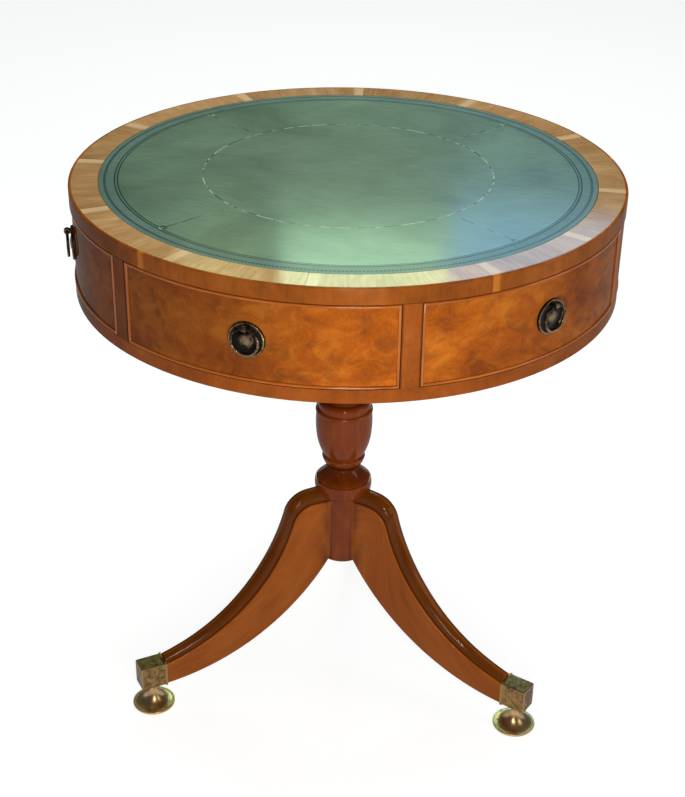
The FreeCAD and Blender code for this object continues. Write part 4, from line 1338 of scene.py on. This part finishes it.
@dataclass
class ToeCap:
    """Cast brass box over a toe, with a raised lip at its open end."""

    name: str
    angle: float
    start: float
    low: float
    high: float
    length: float = 33.0
    width: float = 24.0
    wall: float = 1.5
    corner: float = 1.5
    lip: float = 3.0
    lip_proud: float = 1.0

    def build(self) -> Piece:
        """Stack rounded rectangles along the toe.

        Each row of the stack has a distance and an amount by which the loop shrinks or grows;
        the end is a quarter circle of such rows.
        """
        swing = np.linspace(0, math.pi / 2, 6)
        end = self.length
        proud = self.lip_proud
        rows = [(0.0, 0.3 - proud), (0.3, -proud), (self.lip - 0.4, -proud), (self.lip, -proud * 0.45),
                (self.lip + 0.35, 0.0), (self.lip + 1.2, 0.0), (end / 2, 0.0)]
        rows += [(end - self.corner + self.corner * math.sin(s), self.corner * (1 - math.cos(s))) for s in swing]
        loops, wears = [], []
        for distance, shrink in rows:
            loop = rounded_rectangle(self.width / 2 - shrink, self.low - self.wall + shrink,
                                     self.high + self.wall - shrink, self.corner + max(0.0, -shrink) * 0.5)
            loops.append(np.column_stack([loop, np.full(len(loop), distance)]))
            corner_wear = np.tile(np.array([0.15, 0.35, 0.5, 0.5, 0.35, 0.15]), 4)
            wears.append(corner_wear + (0.25 if distance <= self.lip or distance > end - 1.2 else 0.0))
        points = seated(closed_loop(np.stack(loops), 1), self.angle, self.start, 0.0)
        body = patch(points, wear=closed_loop(np.stack(wears), 1))
        ends = [capped(points[row], body.pattern[row]) for row in (0, -1)]
        piece = build(f"cast_toe_cap_{self.name}", [body] + ends, crease=50.0)
        return finish_piece(piece, CAP_BRASS, Body.BASE.value, Slot.AGED_BRASS, f"toe_cap_{self.name}")


@dataclass
class FootGlide:
    """Trumpet-shaped glide under a toe cap."""

    name: str
    angle: float
    distance: float = 258.0
    radius: float = 25.8
    rim: float = 3.0
    neck: float = 5.0
    boss: float = 8.0
    boss_height: float = 2.5
    top: float = 31.0

    def build(self) -> Piece:
        """Turn the trumpet's outline about the glide's own axis."""
        boss_bottom = self.top - self.boss_height
        rows = [(0.0, 0.0, 0), (self.radius - 0.8, 0.0, 0.2), (self.radius, 0.8, 0), (self.radius, self.rim * 0.7, 0.3),
                (self.radius - self.rim * 0.3, self.rim, 0), (self.radius - self.rim, self.rim, -0.24),
                (self.neck, boss_bottom, 0), (self.boss, boss_bottom, 0.3), (self.boss, self.top, 0),
                (0.0, self.top, 0)]
        outline = bulged(rows, 0.9)
        wear = np.clip(1.0 - np.abs(outline[:, 1] - self.rim) / 3.0, 0, 1) * 0.4 + 0.1
        found = revolved(outline, 96, wear)
        found.points += polar(self.distance, self.angle, 0.0)
        piece = build(f"turned_glide_{self.name}", [found], crease=40.0)
        return finish_piece(piece, GLIDE_BRASS, Body.BASE.value, Slot.BRASS, f"foot_glide_{self.name}")


def standing(right: np.ndarray, above: np.ndarray, back: np.ndarray, place: np.ndarray) -> Matrix:
    """Matrix of an object with these axes at this place."""
    matrix = np.eye(4)
    matrix[:3] = np.column_stack([right, above, back, place])
    return Matrix(matrix.tolist())


@dataclass(frozen=True)
class Lamp:
    """Rectangular soft lamp at an angle from the camera's side, aimed at the table's axis."""

    name: str
    turn: float
    away: float
    height: float
    size: Pair
    power: float
    colour: str
    aim_height: float = 550.0


@dataclass
class Studio:
    """Floor, lamps and camera."""

    camera_place: tuple[float, float] = (1574.9, 1249.1)
    view_turn: float = 18.1
    yaw: float = -0.087
    pitch: float = 29.07
    roll: float = 0.921
    focal_pixels: float = 1507.6
    picture_height: float = 797.0
    sensor: float = 36.0
    floor_glow: float = 0.84
    floor_half: float = 9000.0
    air: float = 0.12
    lamps_used: tuple[Lamp, ...] = (
        Lamp("camera_lamp", 2.5, 1600.0, 1300.0, (240.0, 60.0), 7.5, "#FFFFFF"),
        Lamp("front_softbox", 3.0, 900.0, 490.0, (260.0, 170.0), 2.7, "#FFF6EA", 600.0),
        Lamp("right_softbox", 78.0, 2000.0, 1100.0, (700.0, 900.0), 7.0, "#F2F5FF"),
        Lamp("overhead_softbox", 180.0, 450.0, 2500.0, (1500.0, 1500.0), 26.0, "#FFFDF8"),
        Lamp("green_pane", 178.9, 3000.0, 2190.0, (560.0, 340.0), 9.2, "#CCFFD0"),
        Lamp("curtain_pane", 188.0, 3030.0, 2190.0, (290.0, 340.0), 1.2, "#DCFFB8"),
        Lamp("blue_pane", 168.4, 3063.0, 2130.0, (560.0, 400.0), 7.0, "#9AD4FF"))

    def build(self) -> None:
        """Set the stage."""
        self.floor()
        self.lamps()
        self.camera()
        bpy.context.scene.view_settings.view_transform = "Standard"

    def floor(self) -> Piece:
        """Large pale floor, a grid of flat cells."""
        side = np.linspace(-self.floor_half, self.floor_half, 9)
        across, along = np.meshgrid(side, side, indexing="ij")
        points = np.stack([across, along, np.zeros_like(across)], axis=-1)
        piece = build("studio_floor", [patch(points)])
        material, tree = blank_material("Matt white floor")
        matt = out(tree, "BsdfDiffuse", {"Color": linear("#A0A0A0")})
        seen = add(tree, "LightPath").outputs
        share = largest(tree, seen["Is Camera Ray"], seen["Is Glossy Ray"], seen["Is Transmission Ray"])
        glow = out(tree, "Emission", {"Strength": sums(tree, "MULTIPLY", share, self.floor_glow)})
        add(tree, "OutputMaterial", {"Surface": out(tree, "AddShader", {0: matt, 1: glow})})
        piece.data.materials.append(material)
        return piece

    def lamps(self) -> None:
        """A small bright lamp beside the camera, a low softbox close in front, one to the right, soft
        light overhead, and three window panes that the top mirrors."""
        for row in self.lamps_used:
            self.lamp(row)
        world = bpy.context.scene.world or bpy.data.worlds.new("Studio air")
        bpy.context.scene.world = world
        world.use_nodes = True
        tree = world.node_tree
        tree.nodes.clear()
        air = out(tree, "Background", {"Color": linear("#F2F2F0"), "Strength": self.air})
        add(tree, "OutputWorld", {"Surface": air})

    def lamp(self, row: Lamp) -> Piece:
        """Hang one lamp: its back looks away from the point on the axis that it is aimed at."""
        data = bpy.data.lights.new(row.name, "AREA")
        data.shape = "RECTANGLE"
        data.size, data.size_y = row.size[0] * MM, row.size[1] * MM
        data.energy = row.power
        data.color = linear(row.colour)[:3]
        lamp = bpy.data.objects.new(row.name, data)
        place = polar(row.away, self.view_turn + row.turn, row.height) * MM
        back = place - np.array([0.0, 0.0, row.aim_height * MM])
        back /= np.linalg.norm(back)
        right = np.cross([0.0, 0.0, 1.0], back)
        right /= np.linalg.norm(right)
        lamp.matrix_world = standing(right, np.cross(back, right), back, place)
        bpy.context.scene.collection.objects.link(lamp)
        return lamp

    def camera(self) -> Piece:
        """Camera where the photograph was taken from."""
        away, height = self.camera_place
        yaw, pitch, roll = (math.radians(value) for value in (self.yaw, self.pitch, self.roll))
        forward = np.array([math.sin(yaw) * math.cos(pitch), math.cos(yaw) * math.cos(pitch), -math.sin(pitch)])
        level = np.array([math.cos(yaw), -math.sin(yaw), 0.0])
        above = np.cross(level, forward)
        right = math.cos(roll) * level + math.sin(roll) * above
        upward = -math.sin(roll) * level + math.cos(roll) * above
        place = np.array([0.0, -away, height]) * MM
        data = bpy.data.cameras.new("photograph_camera")
        data.sensor_width = self.sensor
        data.lens = self.focal_pixels * self.sensor / self.picture_height
        data.clip_end = 60.0
        camera = bpy.data.objects.new("photograph_camera", data)
        turned = Matrix.Rotation(math.radians(self.view_turn), 4, "Z")
        camera.matrix_world = turned @ standing(right, upward, -forward, place)
        bpy.context.scene.collection.objects.link(camera)
        bpy.context.scene.camera = camera
        return camera


@dataclass
class DrumTable:
    """The whole table."""

    first_leg: float = -45.6
    leg_names: tuple[str, ...] = ("left", "right", "rear")
    leaves: tuple[tuple[float, float, float, float], ...] = (
        (-0.8, 0.1, 0.35, 0.9), (0.0, -0.3, 0.0, 0.8), (-0.1, -0.4, 0.0, 1.0), (0.05, -0.2, 0.2, 0.7),
        (-0.3, 0.0, 0.2, 0.9), (-0.1, -0.5, 0.3, 1.0))
    fronts: list[CurvedFront] = field(default_factory=list)

    def build(self) -> None:
        """Build every sub-assembly in order."""
        TableTop().build()
        DrumCarcass().build()
        for number in range(1, SECTIONS + 1):
            real = number <= DRAWERS
            turn = (number - 1) * 120.0 if real else (number - DRAWERS - 0.5) * 120.0
            front = CurvedFront(number, FrontKind.DRAWER if real else FrontKind.DUMMY, turn,
                                leaf=self.leaves[number - 1])
            front.build()
            self.fronts.append(front)
        self.dummy_beads()
        Column().build()
        for number, name in enumerate(self.leg_names):
            SabreLeg(name, self.first_leg + number * 120.0, number).build()
        dress("leg_strap", STEEL)
        dress("strap_screws", STEEL)

    def dummy_beads(self) -> Piece:
        """Beads of the three fixed fronts, one piece."""
        patches = [front.bead_patch() for front in self.fronts if front.kind is FrontKind.DUMMY]
        piece = build("dummy_cock_beads", patches)
        return finish_piece(piece, BEAD, Body.DRUM.value, Slot.YEW, "dummy_beads")


def main() -> None:
    logging.basicConfig(level=logging.INFO, format="%(name)s %(message)s")
    DrumTable().build()
    Studio().build()


if __name__ == "__main__":
    main()
